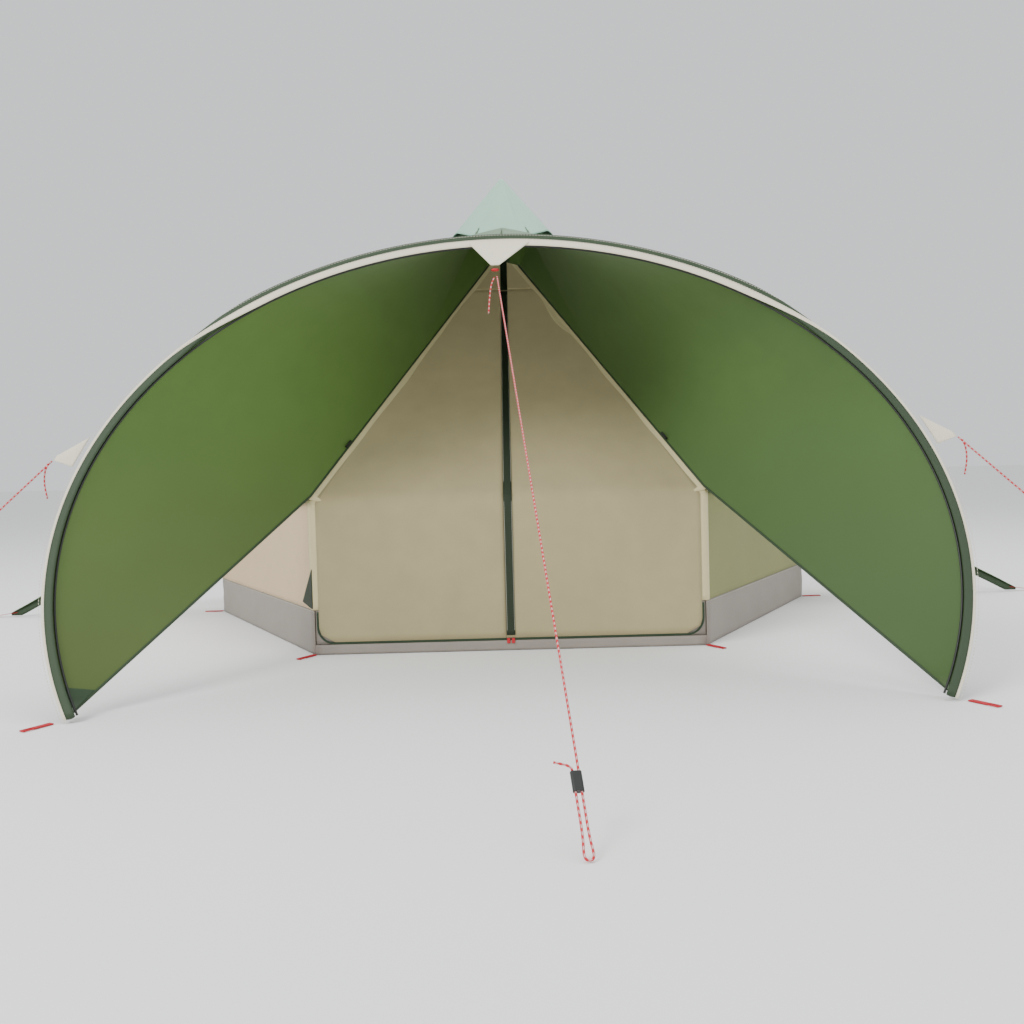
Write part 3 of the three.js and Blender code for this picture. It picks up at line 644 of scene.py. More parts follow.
def stitch_rows(name, paths, body, slot, gap=None, paint_key="thread"):
    """Rows of stitches along paths of points, as one plain mesh."""
    tree, pitch, thread, paint = stitch_tree()
    curve = bpy.data.curves.new(name, "CURVE")
    curve.dimensions = "3D"
    for path in paths:
        spline = curve.splines.new("POLY")
        spline.points.add(len(path) - 1)
        for point, place in zip(spline.points, path):
            point.co = (*place, 1.0)
    line = link(bpy.data.objects.new(name + "_line", curve))
    modifier = line.modifiers.new("Stitches", "NODES")
    modifier.node_group = tree
    modifier[pitch] = gap or settings().stitch_gap
    modifier[thread] = THREAD_RADIUS
    modifier[paint] = MATERIALS[paint_key]
    evaluated = line.evaluated_get(bpy.context.evaluated_depsgraph_get())
    mesh = bpy.data.meshes.new_from_object(evaluated)
    obj = link(bpy.data.objects.new(name, mesh))
    bpy.data.objects.remove(line)
    return settle(obj, body, slot)


# ---- pieces ----
SIDES = [
    ("right_front", -60, 0),
    ("right_back", 0, 60),
    ("back", 60, 120),
    ("left_back", 120, 180),
    ("left_front", 180, 240),
]


def sagged(grid, depth, wrinkle, seed, scale=3.0):
    """The grid pulled in between its edges, with folds, and left alone at its edges."""
    rows, columns = grid.shape[0] - 1, grid.shape[1] - 1
    u, v = grid_parameters(columns, rows)
    inside = np.sin(np.pi * u) * np.sin(np.pi * v)
    lift = ripple(grid, scale, wrinkle, seed) * np.minimum(1, inside * 4) - depth * inside
    return grid + normals_of(grid) * lift[..., None]


def make_fly():
    """The fly's five panels, their hem and seam tapes, and the stitches beside the seams."""
    s = settings()
    for name, start, end in SIDES:
        u, v = grid_parameters(40, 60)
        share = mix(HEM_SHARE, CAP_SHARE - 0.01, v)
        grid = mix(fly_ridge(start, share), fly_ridge(end, share), u[..., None])
        grid = sagged(grid, 0.012, s.wrinkle, start * 0.1, 2.6)
        paints = [MATERIALS[key] for key in ("fly_outer", "fly_inner", "trim")]
        obj = cloth_shell(f"fly_cloth_{name}", grid, s.cloth_thickness, *paints)
        settle(obj, "tent", "fly_green", f"fly_roof_{name}")
        declare_sheet(grid)
        share = mix(HEM_SHARE + 0.0005, HEM_SHARE - 0.013, np.linspace(0, 1, 5))[:, None]
        hem = mix(fly_ridge(start, share), fly_ridge(end, share), np.linspace(0, 1, 41)[:, None])
        tape = cloth_shell(f"fly_hem_{name}", hem + (0, 0, 0.0035), TAPE, MATERIALS["band"])
        settle(tape, "tent", "trim_green")
    seams = []
    for angle in (-60, 0, 60, 120, 180, 240):
        share = np.linspace(HEM_SHARE, CAP_SHARE, 60)
        line = fly_ridge(angle, share)
        across = compass(angle + 90, 0.013, 0.0)
        u = np.linspace(0 if angle == FRONT_RIGHT else -1, 0 if angle == FRONT_LEFT else 1, 3)
        grid = line[:, None, :] + u[None, :, None] * across + np.array((0, 0, 0.003))
        grid[:, (0, 2), 2] -= 0.004
        obj = cloth_shell(f"fly_seam_{len(seams)}", grid, TAPE, MATERIALS["fly_outer"])
        seams.append(settle(obj, "tent", "fly_green"))
    rows = []
    for angle in (0, 60, 120, 180):
        line = fly_ridge(angle, np.linspace(HEM_SHARE, CAP_SHARE, 80)) + np.array((0, 0, 0.005))
        across = compass(angle + 90, 0.009, 0.0)
        rows += [line + across, line - across]
    stitch_rows("fly_stitches", rows, "tent", "fly_green")


def make_cap():
    """The peak's cap, with folds that run down from the tip."""
    s = settings()
    sections, rings = 144, 36
    angle = np.linspace(0, 360, sections + 1)
    share = np.linspace(0.004, CAP_SHARE + 0.012, rings + 1)
    a, r = np.meshgrid(angle, share)
    height = fly_ridge(0, r)[..., 2]
    grid = compass(a, r * CORNER_RADIUS, height)
    away = np.abs((a - 270 + 180) % 360 - 180)
    front = np.clip((62 - away) / 32, 0, 1)
    grid[..., 2] -= front * (height - fly_ridge(FRONT_LEFT, r)[..., 2] + 0.004 * r / CAP_SHARE)
    right = np.clip(1 - np.abs((a - 305 + 180) % 360 - 180) / 48, 0, 1)
    pleats = np.cos(np.radians(a) * 26 + r * 9) * 0.009 * right * np.clip(1.3 - r / CAP_SHARE, 0, 1)
    folds = np.cos(np.radians(a + 30) * 6) * 0.010
    grid[..., 2] += (folds + pleats) * (r / CAP_SHARE) * np.clip(2 - 2 * r / CAP_SHARE + 0.3, 0, 1)
    obj = cloth_shell("cap_cloth_cone", grid[:, ::-1], s.cloth_thickness, MATERIALS["cap"])
    settle(obj, "tent", "cap_mint", "fly_cap")
    declare_sheet(grid)


def make_tails():
    """The fly's tails, from the shoulders down to their straps on the ground."""
    s = settings()
    for angle, name in ((0, "right"), (60, "back_right"), (120, "back_left"), (180, "left")):
        u, v = grid_parameters(24, 60)
        top, tip = fly_ridge(angle, np.array(HEM_SHARE)), compass(angle, TAIL_REACH - 0.10, 0.020)
        middle = mix(top, tip, v[..., None])
        sideways = 1 - 2 * u
        square = compass(angle - 90 * np.sign(sideways), 1.0, 0.0)
        hem = compass(angle - 120 * np.sign(sideways), 1.0, 0.0)
        direction = mix(hem, square, np.sqrt(v)[..., None])
        half = mix(0.0125, 0.23, (1 - v) ** 1.6)
        grid = middle + direction * (np.abs(sideways) * half)[..., None]
        grid[..., 2] += ripple(grid, 5.0, 0.004, angle * 0.05)
        paints = [MATERIALS[key] for key in ("fly_outer", "fly_inner")]
        obj = cloth_shell(f"tail_cloth_{name}", grid[:, ::-1], s.cloth_thickness, *paints)
        settle(obj, "tent", "fly_green", f"fly_tail_{name}")
        declare_sheet(grid)
        # painted shade: a dark green sheet hangs under each tail's middle, standing in for the tail's cloth
        # in shade as seen from the front
        line = grid[12:, 12]
        low_edge = line - UP * np.minimum(0.050, line[:, 2:3] - 0.006)
        painted_shade_sheet = np.stack([line, (line + low_edge) / 2, low_edge], axis=1)
        settle(cloth_shell(f"tail_keel_{name}", painted_shade_sheet, 0.002, MATERIALS["band"]), "tent", "fly_green")
        start, end = compass(angle, TAIL_REACH - 0.14, 0.026), compass(angle, TAIL_REACH - 0.002, 0.006)
        t = np.linspace(0, 1, 9)[:, None]
        line = mix(start, end, t)
        across = compass(angle + 90, 0.0115, 0.0)
        strap = np.stack([line - across, line, line + across], axis=1)
        settle(cloth_shell(f"tail_strap_{name}", strap, 0.002, MATERIALS["red"]), "tent", "webbing_red")


WING_FOLD = 0.05
RIM_PART, HIP_PART = 0.1, 0.6
HEM_END, HEM_END_HEIGHT = TAIL_REACH - 0.170, 0.010


def wing_inner_edge(t, lifted):
    """The left wing's inner edge: cap, then front hip, then free hem."""
    start = CAP_SHARE + 0.012 / CORNER_RADIUS if lifted else 0.1

    def hip(share):
        z = fly_ridge(FRONT_LEFT, share)[..., 2] if lifted else inner_roof(share) + HIP_CLEARANCE
        return compass(FRONT_LEFT, share * CORNER_RADIUS, z)

    first = hip(np.full_like(t, start))
    beside, ahead = np.full_like(t, -0.0015), np.full_like(t, -start * CORNER_RADIUS)
    middle = np.stack([beside, ahead, first[..., 2] + HIP_CLEARANCE], axis=-1)
    rim = mix(middle, first, (t / RIM_PART)[..., None])
    down = hip(mix(start, 1.0, (t - RIM_PART) / (HIP_PART - RIM_PART)))
    end = compass(FRONT_LEFT, HEM_END, HEM_END_HEIGHT)
    hem = mix(hip(np.ones_like(t)), end, ((t - HIP_PART) / (1 - HIP_PART))[..., None])
    return np.where((t < RIM_PART)[..., None], rim, np.where((t < HIP_PART)[..., None], down, hem))


def wing_surface(u, v):
    """The left wing: u from the middle of the roof to the foot, v from the hip to the hoop."""
    fold_share = 1 / 7
    hoop = hoop_point(-mix(0.0015, HOOP_TIP * 0.997, u), -0.012)
    hip, ridge = wing_inner_edge(u, False), wing_inner_edge(u, True)
    towards = hoop - ridge
    fold = ridge + towards / np.linalg.norm(towards, axis=-1, keepdims=True) * WING_FOLD
    low = mix(hip, fold, (v / fold_share)[..., None])
    high = mix(fold, hoop, ((v - fold_share) / (1 - fold_share))[..., None])
    return np.where((v < fold_share)[..., None], low, high)


def make_wings():
    """The porch's two wings, mirrored, each with piping along its inner edge."""
    s = settings()
    u, v = grid_parameters(120, 56)
    left = wing_surface(u, v)
    inside = np.sin(np.pi * np.clip(v, 0, 1))
    left += normals_of(left) * (ripple(left, 1.7, 0.016, 3.0) * inside)[..., None]
    for side, name in ((1, "left"), (-1, "right")):
        grid = left * np.array((side, 1, 1))
        grid = facing(grid, side)
        paints = [MATERIALS[key] for key in ("fly_outer", f"wing_{name}", "trim")]
        obj = cloth_shell(f"wing_cloth_{name}", grid, s.cloth_thickness, *paints, share_uv=True)
        settle(obj, "tent", "fly_green", f"porch_wing_{name}")
        declare_sheet(grid)
        edge = left[0, 12:] * np.array((side, 1, 1))
        settle(sweep(f"wing_hem_{name}", edge, 0.0055, MATERIALS["band"], 8), "tent", "trim_green")


def hoop_ribbon(name, low, high, forward, paint, slot):
    """A flat band that follows the hoop; low and high are its edges' outsets at each angle."""
    angles = np.linspace(-HOOP_TIP, HOOP_TIP, 241)
    v = np.linspace(0, 1, 4)
    grid = np.stack([hoop_point(angles, mix(low(angles), high(angles), t)) for t in v])
    grid[..., 1] -= forward
    return settle(cloth_shell(name, grid, RIBBON, MATERIALS[paint]), "tent", slot)


def make_hoop():
    """The hoop's sleeve: a green tube whose cream side shows at the top, and piping along its inner edge."""
    angles = np.linspace(-HOOP_TIP, HOOP_TIP, 241)

    def turned(angle):
        t = np.clip((np.abs(angle) - 0.62) / 0.30, 0, 1)
        return t * t * (3 - 2 * t)

    def edge(at_top, at_side):
        return lambda angle: mix(at_top, at_side, turned(angle))

    sleeve = sweep("hoop_sleeve_cloth", hoop_point(angles), 0.013, MATERIALS["band"], 16)
    settle(sleeve, "tent", "trim_green", "hoop_sleeve")
    green = (edge(0.010, -0.020), edge(0.034, 0.012), 0.014, "band", "trim_green")
    hoop_ribbon("hoop_green_band", *green)
    light = (edge(-0.020, 0.010), edge(0.009, 0.020), 0.015, "cream", "cream_cloth")
    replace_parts(hoop_ribbon("hoop_cream_band", *light), "hoop_binding")
    piping = sweep("hoop_piping", hoop_point(angles, -0.021), 0.004, MATERIALS["black"], 8)
    settle(piping, "tent", "trim_green")
    places = ((0.0105, 0.0165), (0.029, 0.0155))
    rows = [hoop_point(angles, outset) - (0, ahead, 0) for outset, ahead in places]
    stitch_rows("hoop_stitches", rows, "tent", "cream_cloth")


def make_beak():
    """The cream triangle under the hoop's top."""
    s = settings()
    u, v = grid_parameters(16, 16)
    top = hoop_point(np.array(0.0)) + np.array((0, -0.013, 0.0))
    middle = mix(top, BEAK_TIP, v[..., None])
    half = mix(0.130, 0.016, v)
    grid = middle + np.stack([(1 - 2 * u) * half, np.zeros_like(u), np.zeros_like(u)], axis=-1)
    obj = cloth_shell("beak_cloth", grid, s.cloth_thickness, MATERIALS["cream"])
    settle(obj, "tent", "cream_cloth", "beak_patch")
    declare_sheet(grid)


def make_inner():
    """The inner tent's five walls and five roof panels."""
    s = settings()
    for name, start, end in SIDES:
        # painted light: the two front walls take the lit copy and the green-shaded copy of the sand cloth
        paint = MATERIALS[{"left_front": "sand_left", "right_front": "olive"}.get(name, "sand")]
        u, v = grid_parameters(30, 20)
        height = mix(BAND_HEIGHT + 0.001, WALL_HEIGHT - 0.003, v)
        corner_a, corner_b = (compass(angle, CORNER_RADIUS, height) for angle in (start, end))
        grid = sagged(mix(corner_a, corner_b, u[..., None]), 0.006, s.wrinkle, start * 0.2)
        obj = cloth_shell(f"wall_cloth_{name}", grid, s.cloth_thickness, paint)
        settle(obj, "tent", "inner_sand", f"wall_{name}")
        declare_sheet(grid)
        u, v = grid_parameters(30, 40)
        share = mix(0.998, 0.03, v)
        hips = [compass(angle, share * CORNER_RADIUS, inner_roof(share)) for angle in (start, end)]
        grid = mix(*hips, u[..., None])
        grid = sagged(grid, 0.004, s.wrinkle * 0.6, start * 0.3)
        obj = cloth_shell(f"roof_cloth_{name}", grid, s.cloth_thickness, MATERIALS["sand"])
        settle(obj, "tent", "inner_sand", f"inner_roof_{name}")
        declare_sheet(grid)


def door_grid(side, columns=40, rows=70):
    """A door half from its rounded foot, over the shoulder, to its top."""
    u, v = grid_parameters(columns, rows)
    run_low, run_high = WALL_HEIGHT - DOOR_LOW, 0.793 * math.hypot(APOTHEM, ROOF_RISE)
    bend = run_low / (run_low + run_high)
    low = v <= bend
    height = DOOR_LOW + (WALL_HEIGHT - DOOR_LOW) * np.clip(v / bend, 0, 1)
    radius = 0.070
    rise = np.clip(height - DOOR_LOW, 0, radius)
    edge = DOOR_EDGE - (radius - np.sqrt(np.maximum(0, radius**2 - (radius - rise) ** 2)))
    share = mix(0.998, DOOR_TOP_SHARE, np.clip((v - bend) / (1 - bend), 0, 1))
    split = DOOR_SPLIT + side * 0.0005
    lower = np.stack([mix(split, side * edge, u), np.full_like(u, -APOTHEM), height], axis=-1)
    hip = side * (CORNER_RADIUS / 2 * share - mix(0.020, 0.004, np.clip((1 - share) / 0.2, 0, 1)))
    upper = front_roof(share, mix(split, hip, u))
    grid = np.where(low[..., None], lower, upper)
    return facing(grid, side)


def make_doors():
    """The two door halves, each one cloth over its lower and upper leaf."""
    s = settings()
    for side, name in ((-1, "left"), (1, "right")):
        grid = door_grid(side)
        rows, columns = grid.shape[0] - 1, grid.shape[1] - 1
        u, v = grid_parameters(columns, rows)
        inside = np.minimum(1, np.sin(np.pi * u) * 5) * np.minimum(1, np.sin(np.pi * v) * 5)
        folds = ripple(grid * (1.6, 1, 0.7), 3.4, 0.007, side * 2.0)
        grid = grid + normals_of(grid) * (folds * inside)[..., None]
        obj = cloth_shell(f"door_cloth_{name}", grid, s.cloth_thickness, MATERIALS["sand"])
        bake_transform(obj)
        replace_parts(obj, f"door_{name}_lower", f"door_{name}_upper")
        declare_sheet(grid)


def make_door_head():
    """The fixed piece of the front roof above the doors, with the end of the flap."""
    u, v = grid_parameters(20, 20)
    share = mix(0.2035, 0.03, v)
    hip = CORNER_RADIUS / 2 * share - 0.003
    grid = front_roof(share, mix(-hip, hip, u))
    obj = cloth_shell("head_cloth", grid, settings().cloth_thickness, MATERIALS["sand"])
    settle(obj, "tent", "inner_sand", "door_head")
    declare_sheet(grid)
    u, v = grid_parameters(4, 20)
    grid = front_roof(mix(0.211, 0.05, v), DOOR_SPLIT + 0.001 + FLAP_WIDTH * u, FLAP_LIFT)
    settle(cloth_shell("head_flap", grid, RIBBON, MATERIALS["flap"]), "tent", "trim_green")


def make_front_seams():
    """Cream strips behind the doors' edges: up the inner tent's front corners and along its hips."""
    for side, name in ((-1, "left"), (1, "right")):
        heights = np.linspace(0.206, WALL_HEIGHT, 20)
        wall = np.array((side * 0.5, math.sin(math.pi / 3), 0.0))
        corner = np.array((side * CORNER_RADIUS / 2, -APOTHEM, 0.0))
        outward = np.array((side * math.cos(math.pi / 6), -0.5, 0.0)) * 0.004
        line = [corner + (side * x, y, 0.0) for x, y in ((-0.045, 0.006), (-0.022, 0.005), (0.0, -0.001))]
        line += [corner + wall * run + outward for run in (0.016, 0.034)]
        grid = np.array([[p + UP * z for p in line] for z in heights])
        grid = facing(grid, side)
        settle(cloth_shell(f"corner_seam_{name}", grid, TAPE, MATERIALS["seam"]), "tent", "inner_sand")
        low = np.linspace(0.046, 0.206, 8)
        line = [corner + (side * x, y, 0.0) for x, y in ((-0.120, 0.007), (-0.004, 0.005))]
        grid = np.array([[p + UP * z for p in line] for z in low])
        grid = facing(grid, side)
        settle(cloth_shell(f"corner_foot_{name}", grid, TAPE, MATERIALS["grey"]), "tent", "band_grey")
        share = np.linspace(1.0, 0.06, 60)
        rows = []
        for q in share:
            inner = front_roof(q, side * (CORNER_RADIUS / 2 * q - 0.045), -0.005)
            hip = front_roof(q, side * CORNER_RADIUS / 2 * q, 0.004)
            outer = hip + np.array((side * 0.010, -0.006, 0.012))
            rows.append([*(mix(inner, hip, t) for t in (0, 1 / 3, 2 / 3, 1)), outer])
        grid = np.array(rows)
        grid = facing(grid, side)
        settle(cloth_shell(f"hip_seam_{name}", grid, TAPE, MATERIALS["seam"]), "tent", "inner_sand")


def make_zip_flap():
    """The flap over the middle zip, stitched along both edges, on the right-hand door."""
    x = DOOR_SPLIT + 0.001
    height = np.linspace(0.069, 0.706, 24)
    share = np.linspace(0.996, FLAP_TOP_SHARE, 40)
    across = x + FLAP_WIDTH * np.linspace(0, 1, 5)
    low = [[(a, -APOTHEM - FLAP_LIFT, z) for a in across] for z in height]
    grid = np.concatenate([low, front_roof(share[:, None], across, FLAP_LIFT)])
    obj = cloth_shell("zip_flap_cloth", grid, RIBBON, MATERIALS["flap"])
    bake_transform(obj)
    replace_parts(obj, "zip_flap_lower", "zip_flap_upper")
    proud = np.array((0, -0.0016, 0.0))
    for rows, leaf in ((grid[1:23], "lower"), (grid[26:-1], "upper")):
        edges = [rows[:, 0] + (0.003, 0, 0) + proud, rows[:, -1] - (0.003, 0, 0) + proud]
        stitch_rows(f"flap_stitches_{leaf}", edges, f"door_right_{leaf}", "trim_green")


def make_ropes():
    """The guy ropes: the long front one with its doubled end, the two side ones, and the short loose ends."""
    d = settings().rope_diameter
    peg = FRONT_PEG
    start = BEAK_TIP - np.array((0, 0, 0.044))
    line = (peg - start) / np.linalg.norm(peg - start)
    reach = np.linalg.norm(peg - start)
    side = np.cross(line, (0, 0, 1.0))
    side /= np.linalg.norm(side)

    def place(above, sideways):
        return peg - line * above + side * (sideways - STRAND_PITCH / 2)

    strand = [place(mix(reach, 0.12, t), 0.0) for t in np.linspace(0, 1, 24)]
    turn = [(80, 0), (45, -1), (22, -3), (10, -3), (3, 0), (0, 7), (3, 14), (10, 17), (22, 17), (45, 15)]
    turn += [(above, 14) for above in (80, 120, 160, 200)]
    route = strand + [place(a / 1000, b / 1000) for a, b in turn]
    curve = smooth_path(route)
    obj = sweep("front_rope", curve, d / 2, MATERIALS["rope"], 10)
    settle(obj, "tent", "guy_rope", "front_rope_strand", "front_rope_loop")
    bend = [(214, 14), (221, 16), (228, 24), (233, 38), (238, 54)]
    end = smooth_path([place(a / 1000, b / 1000) for a, b in bend])
    loose_end("front_rope_end", end, "rope_adjuster")
    knot = start + np.array((-0.004, -0.010, -0.006))
    fall = [(0, 0, 0), (-0.012, -0.004, -0.030), (-0.020, -0.004, -0.080), (-0.026, -0.002, -0.140)]
    loose_end("beak_rope_end", smooth_path([knot + step for step in fall]), "tent")
    for sign, name in ((1, "right"), (-1, "left")):
        low, high = (np.array(corner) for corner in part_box(f"side_rope_{name}"))
        inner_x = low[0] if sign > 0 else high[0]
        top = np.array((inner_x + sign * d * 0.35, high[1] - d * 0.45, high[2] - d * 0.35))
        peg_point = SIDE_PEG * (sign, 1, 1)
        path = [mix(top, peg_point, t) for t in np.linspace(0, 1, 30)]
        obj = sweep(f"side_guy_{name}", path, d / 2, MATERIALS["rope"], 10)
        settle(obj, "tent", "guy_rope", f"side_rope_{name}")
        first = top + np.array((sign * 0.010, -0.012, -0.010))
        steps = [(0, 0, 0), (0.012, 0, -0.030), (0.016, 0, -0.075), (0.008, 0, -0.130)]
        path = smooth_path([first + (sign * x, y, z) for x, y, z in steps])
        loose_end(f"side_rope_end_{name}", path, "tent")


def loose_end(name, path, body):
    """The short end of a rope past its knot."""
    obj = sweep(name, path, settings().rope_diameter / 2, MATERIALS["rope"], 10)
    settle(obj, body, "guy_rope")


def smooth_path(points, steps=8):
    """A smooth line through points, as centripetal Catmull-Rom pieces."""
    p = [np.asarray(q, dtype=float) for q in points]
    p = [2 * p[0] - p[1], *p, 2 * p[-1] - p[-2]]
    result = []
    for a, b, c, e in zip(p, p[1:], p[2:], p[3:]):
        ta, tb, tc = (max(np.linalg.norm(y - x), 1e-9) ** 0.5 for x, y in ((a, b), (b, c), (c, e)))
        m1 = (b - a) / ta - (c - a) / (ta + tb) + (c - b) / tb
        m2 = (c - b) / tb - (e - b) / (tb + tc) + (e - c) / tc
        for k in range(steps):
            t = k / steps
            h = (2 * t**3 - 3 * t**2 + 1, t**3 - 2 * t**2 + t, -2 * t**3 + 3 * t**2, t**3 - t**2)
            result.append(h[0] * b + h[1] * m1 * tb + h[2] * c + h[3] * m2 * tb)
    result.append(p[-2])
    return [tuple(q) for q in result]


def make_ground():
    """The inner tent's floor and the grey band round its foot, with the low sill in the doorway."""
    thickness = settings().cloth_thickness
    v, u = np.meshgrid(np.linspace(-1, 1, 25), np.linspace(0, 1, 25), indexing="ij")
    reach = CORNER_RADIUS - 0.005
    half = reach * (1 - np.abs(v) / 2)
    depth = v * reach * math.cos(math.pi / 6)
    grid = np.stack([mix(-half, half, u), depth, np.full_like(u, 0.0016)], axis=-1)
    obj = cloth_shell("floor_cloth", grid, thickness, MATERIALS["grey"])
    settle(obj, "tent", "band_grey", "groundsheet")
    declare_sheet(grid)
    corners = [compass(a, CORNER_RADIUS, 0.0) for a in range(-60, 241, 60)]
    steps = np.linspace(0, 1, 31)[:-1, None]
    edges = [mix(a, b, steps) for a, b in zip(corners, corners[1:])]
    round_foot = np.concatenate([*edges, corners[-1][None]])
    heights = np.linspace(0.0, BAND_HEIGHT - 0.0005, 13)
    grid = round_foot[None] + heights[:, None, None] * UP
    outward = round_foot / np.linalg.norm(round_foot, axis=1, keepdims=True)
    puff = ripple(grid * (1, 1, 2.2), 6.0, 0.007, 4.0) * np.sin(np.pi * heights / BAND_HEIGHT)[:, None]
    at_end = np.minimum(1, np.minimum(np.arange(151), 150 - np.arange(151)) / 6)
    grid = grid + outward[None] * (puff * at_end)[..., None]
    obj = cloth_shell("band_cloth", grid, thickness, MATERIALS["grey"])
    settle(obj, "tent", "band_grey", "base_band")
    declare_sheet(grid)
    x = np.linspace(-CORNER_RADIUS / 2, CORNER_RADIUS / 2, 41)
    grid = np.array([[(a, -APOTHEM, b) for a in x] for b in np.linspace(0.0, 0.045, 5)])
    grid[..., 1] -= ripple(grid, 8.0, 0.002, 1.0)
    obj = cloth_shell("sill_cloth", grid, thickness, MATERIALS["grey"])
    settle(obj, "tent", "band_grey")
    declare_sheet(grid)
    rows = [round_foot * 1.0009 + (0, 0, BAND_HEIGHT - 0.007)]
    stitch_rows("band_stitches", rows, "tent", "band_grey")


def make_side_patches():
    """The cream patches beside the hoop that the side ropes pull on."""
    u, v = grid_parameters(12, 12)
    for side, name in ((1, "right"), (-1, "left")):
        points = np.array([tuple(vertex.co) for vertex in NODES[f"side_patch_{name}"].data.vertices])
        points = np.unique(points.round(5), axis=0)
        points = points[np.argsort(np.abs(points[:, 0]))]
        ends = []
        for group in (points[:4], points[4:]):
            group = group[np.argsort(group[:, 2])]
            ends.append((group[:2].mean(axis=0), group[2:].mean(axis=0)))
        (root_low, root_high), (tip_low, tip_high) = ends
        grid = mix(mix(root_low, root_high, u[..., None]), mix(tip_low, tip_high, u[..., None]), v[..., None])
        grid = facing(grid, -side)
        inside = np.sin(np.pi * u) * np.sin(np.pi * v)
        grid = grid + normals_of(grid) * (inside * 0.004)[..., None]
        obj = cloth_shell(f"patch_cloth_{name}", grid, settings().cloth_thickness, MATERIALS["cream"])
        settle(obj, "tent", "cream_cloth", f"side_patch_{name}")
        declare_sheet(grid)
        edge = [grid[2, 1:-1], grid[-2, 1:-1]]
        stitch_rows(f"patch_stitches_{name}", edge, "tent", "cream_cloth")


def make_badge():
    """The plain dark green patch at the left front corner."""
    wall = compass(240, 1.0, 0.0) - compass(180, 1.0, 0.0)
    outward = compass(210, 1.0, 0.0)
    corner = compass(240, CORNER_RADIUS, 0.0) + outward * 0.00475 - wall * 0.006 + (0, 0, BAND_HEIGHT + 0.003)
    width, height = 0.150, 0.190
    t = np.linspace(0, 1, 17)[:, None]
    curve = (1 - t) ** 2 * (-width, 0.12 * height) + t**2 * (0.0, height)
    curve = curve + 2 * t * (1 - t) * (-0.35 * width, 0.7 * height)
    foot = mix(np.array((0.0, 0.0)), curve[0], np.linspace(0, 1, 9)[:-1, None])
    outer = np.concatenate([foot, curve])[1:-1]
    inner = np.stack([np.zeros(len(outer)), np.linspace(0.02, 0.98, len(outer)) * height], axis=-1)
    flat = np.stack([mix(outer, inner, a) for a in np.linspace(0, 1, 9)], axis=1)
    grid = corner + flat[..., :1] * wall + flat[..., 1:] * UP
    settle(cloth_shell("badge_cloth", grid, 0.0014, MATERIALS["flap"]), "tent", "trim_green", "corner_badge")


WEBBINGS = {
    "corner_webbing_front_right": "red",
    "corner_webbing_right": "red",
    "corner_webbing_left": "red",
    "corner_webbing_front_left": "red",
    "wing_webbing_left": "red",
    "wing_webbing_right": "red",
    "beak_ring": "red",
    "bottom_zip_left": "trim",
    "bottom_zip_right": "trim",
}


def make_webbing():
    """Webbing straps, the beak's loop and the zip tapes: woven, with rounded edges."""
    for node, paint in WEBBINGS.items():
        made = bmesh.new()
        made.from_mesh(NODES[node].data)
        bmesh.ops.remove_doubles(made, verts=made.verts, dist=1e-6)
        mesh = bpy.data.meshes.new(node + "_woven")
        made.to_mesh(mesh)
        made.free()
        obj = link(bpy.data.objects.new(node + "_woven", mesh))
        remesh = obj.modifiers.new("Fine", "REMESH")
        remesh.mode, remesh.voxel_size, remesh.use_smooth_shade = "VOXEL", 0.001, True
        smooth = obj.modifiers.new("Round", "SMOOTH")
        smooth.factor, smooth.iterations = 0.5, 3
        evaluated = obj.evaluated_get(bpy.context.evaluated_depsgraph_get())
        woven = bpy.data.meshes.new_from_object(evaluated)
        obj.modifiers.clear()
        obj.data = woven
        woven.materials.clear()
        woven.materials.append(MATERIALS[paint])
        settle(obj, "tent", "webbing_red" if paint == "red" else "trim_green", node)


def make_zip_coils():
    """The coil of the bottom zip, along the foot of each door."""
    turn, low, end = 0.0755, 0.0515, DOOR_EDGE + 0.0055
    for side, name in ((1, "right"), (-1, "left")):
        angles = np.linspace(0, math.pi / 2, 13)
        bend = [(end - turn + turn * math.sin(a), low + turn - turn * math.cos(a)) for a in angles]
        line = [(DOOR_SPLIT * side + 0.004, low), *bend, (end, low + 0.140)]
        coil = [[(side * x, -APOTHEM - 0.0014, z) for x, z in line]]
        stitch_rows(f"zip_coil_{name}", coil, "tent", "trim_green", gap=0.0026, paint_key="teeth")


FINISHES = {
    "red": ["zip_pull_left", "zip_pull_right"],
    "black": ["mast_foot", "mast_plug", "rope_adjuster", "door_toggle_left", "door_toggle_right"],
    "fibre": ["hoop_pole"],
    "steel": ["mast_lower", "mast_upper"],
}


def finish_fittings():
    """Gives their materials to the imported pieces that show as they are."""
    for key, names in FINISHES.items():
        for name in names:
            NODES[name].data.materials.clear()
            NODES[name].data.materials.append(MATERIALS[key])


# ---- stage ----
def make_stage():
    """The pale floor, the world and three soft lights."""
    scene = bpy.context.scene
    size = 150.0
    corners = [(-size, -size, 0), (size, -size, 0), (size, size, 0), (-size, size, 0)]
    floor = new_object("floor", corners, [(0, 1, 2, 3)], [])
    ground = Finish("floor_pale", 0.9)
    ground.shader.inputs["Base Color"].default_value = (0.90, 0.90, 0.89, 1)
    floor.data.materials.append(ground.material)
    floor.location.z = -0.002
    world = bpy.data.worlds.new("studio")
    world.use_nodes = True
    background = world.node_tree.nodes["Background"]
    background.inputs["Color"].default_value = (0.96, 0.98, 1.0, 1)
    background.inputs["Strength"].default_value = 0.95
    scene.world = world
    for name, place, target, power, size in (
        ("key", (-7.0, -9.0, 8.0), (0, -1, 0.8), 1100.0, 5.0),
        ("top", (1.0, 1.0, 8.5), (0, -1, 0.8), 420.0, 7.0),
        ("fill", (8.0, -8.0, 4.0), (0, -1, 0.8), 260.0, 6.0),
    ):
        light = bpy.data.lights.new(name, "AREA")
        light.energy, light.size = power, size
        lamp = bpy.data.objects.new(name, light)
        lamp.location = place
        lamp.rotation_euler = (Vector(target) - Vector(place)).to_track_quat("-Z", "Y").to_euler()
        link(lamp)


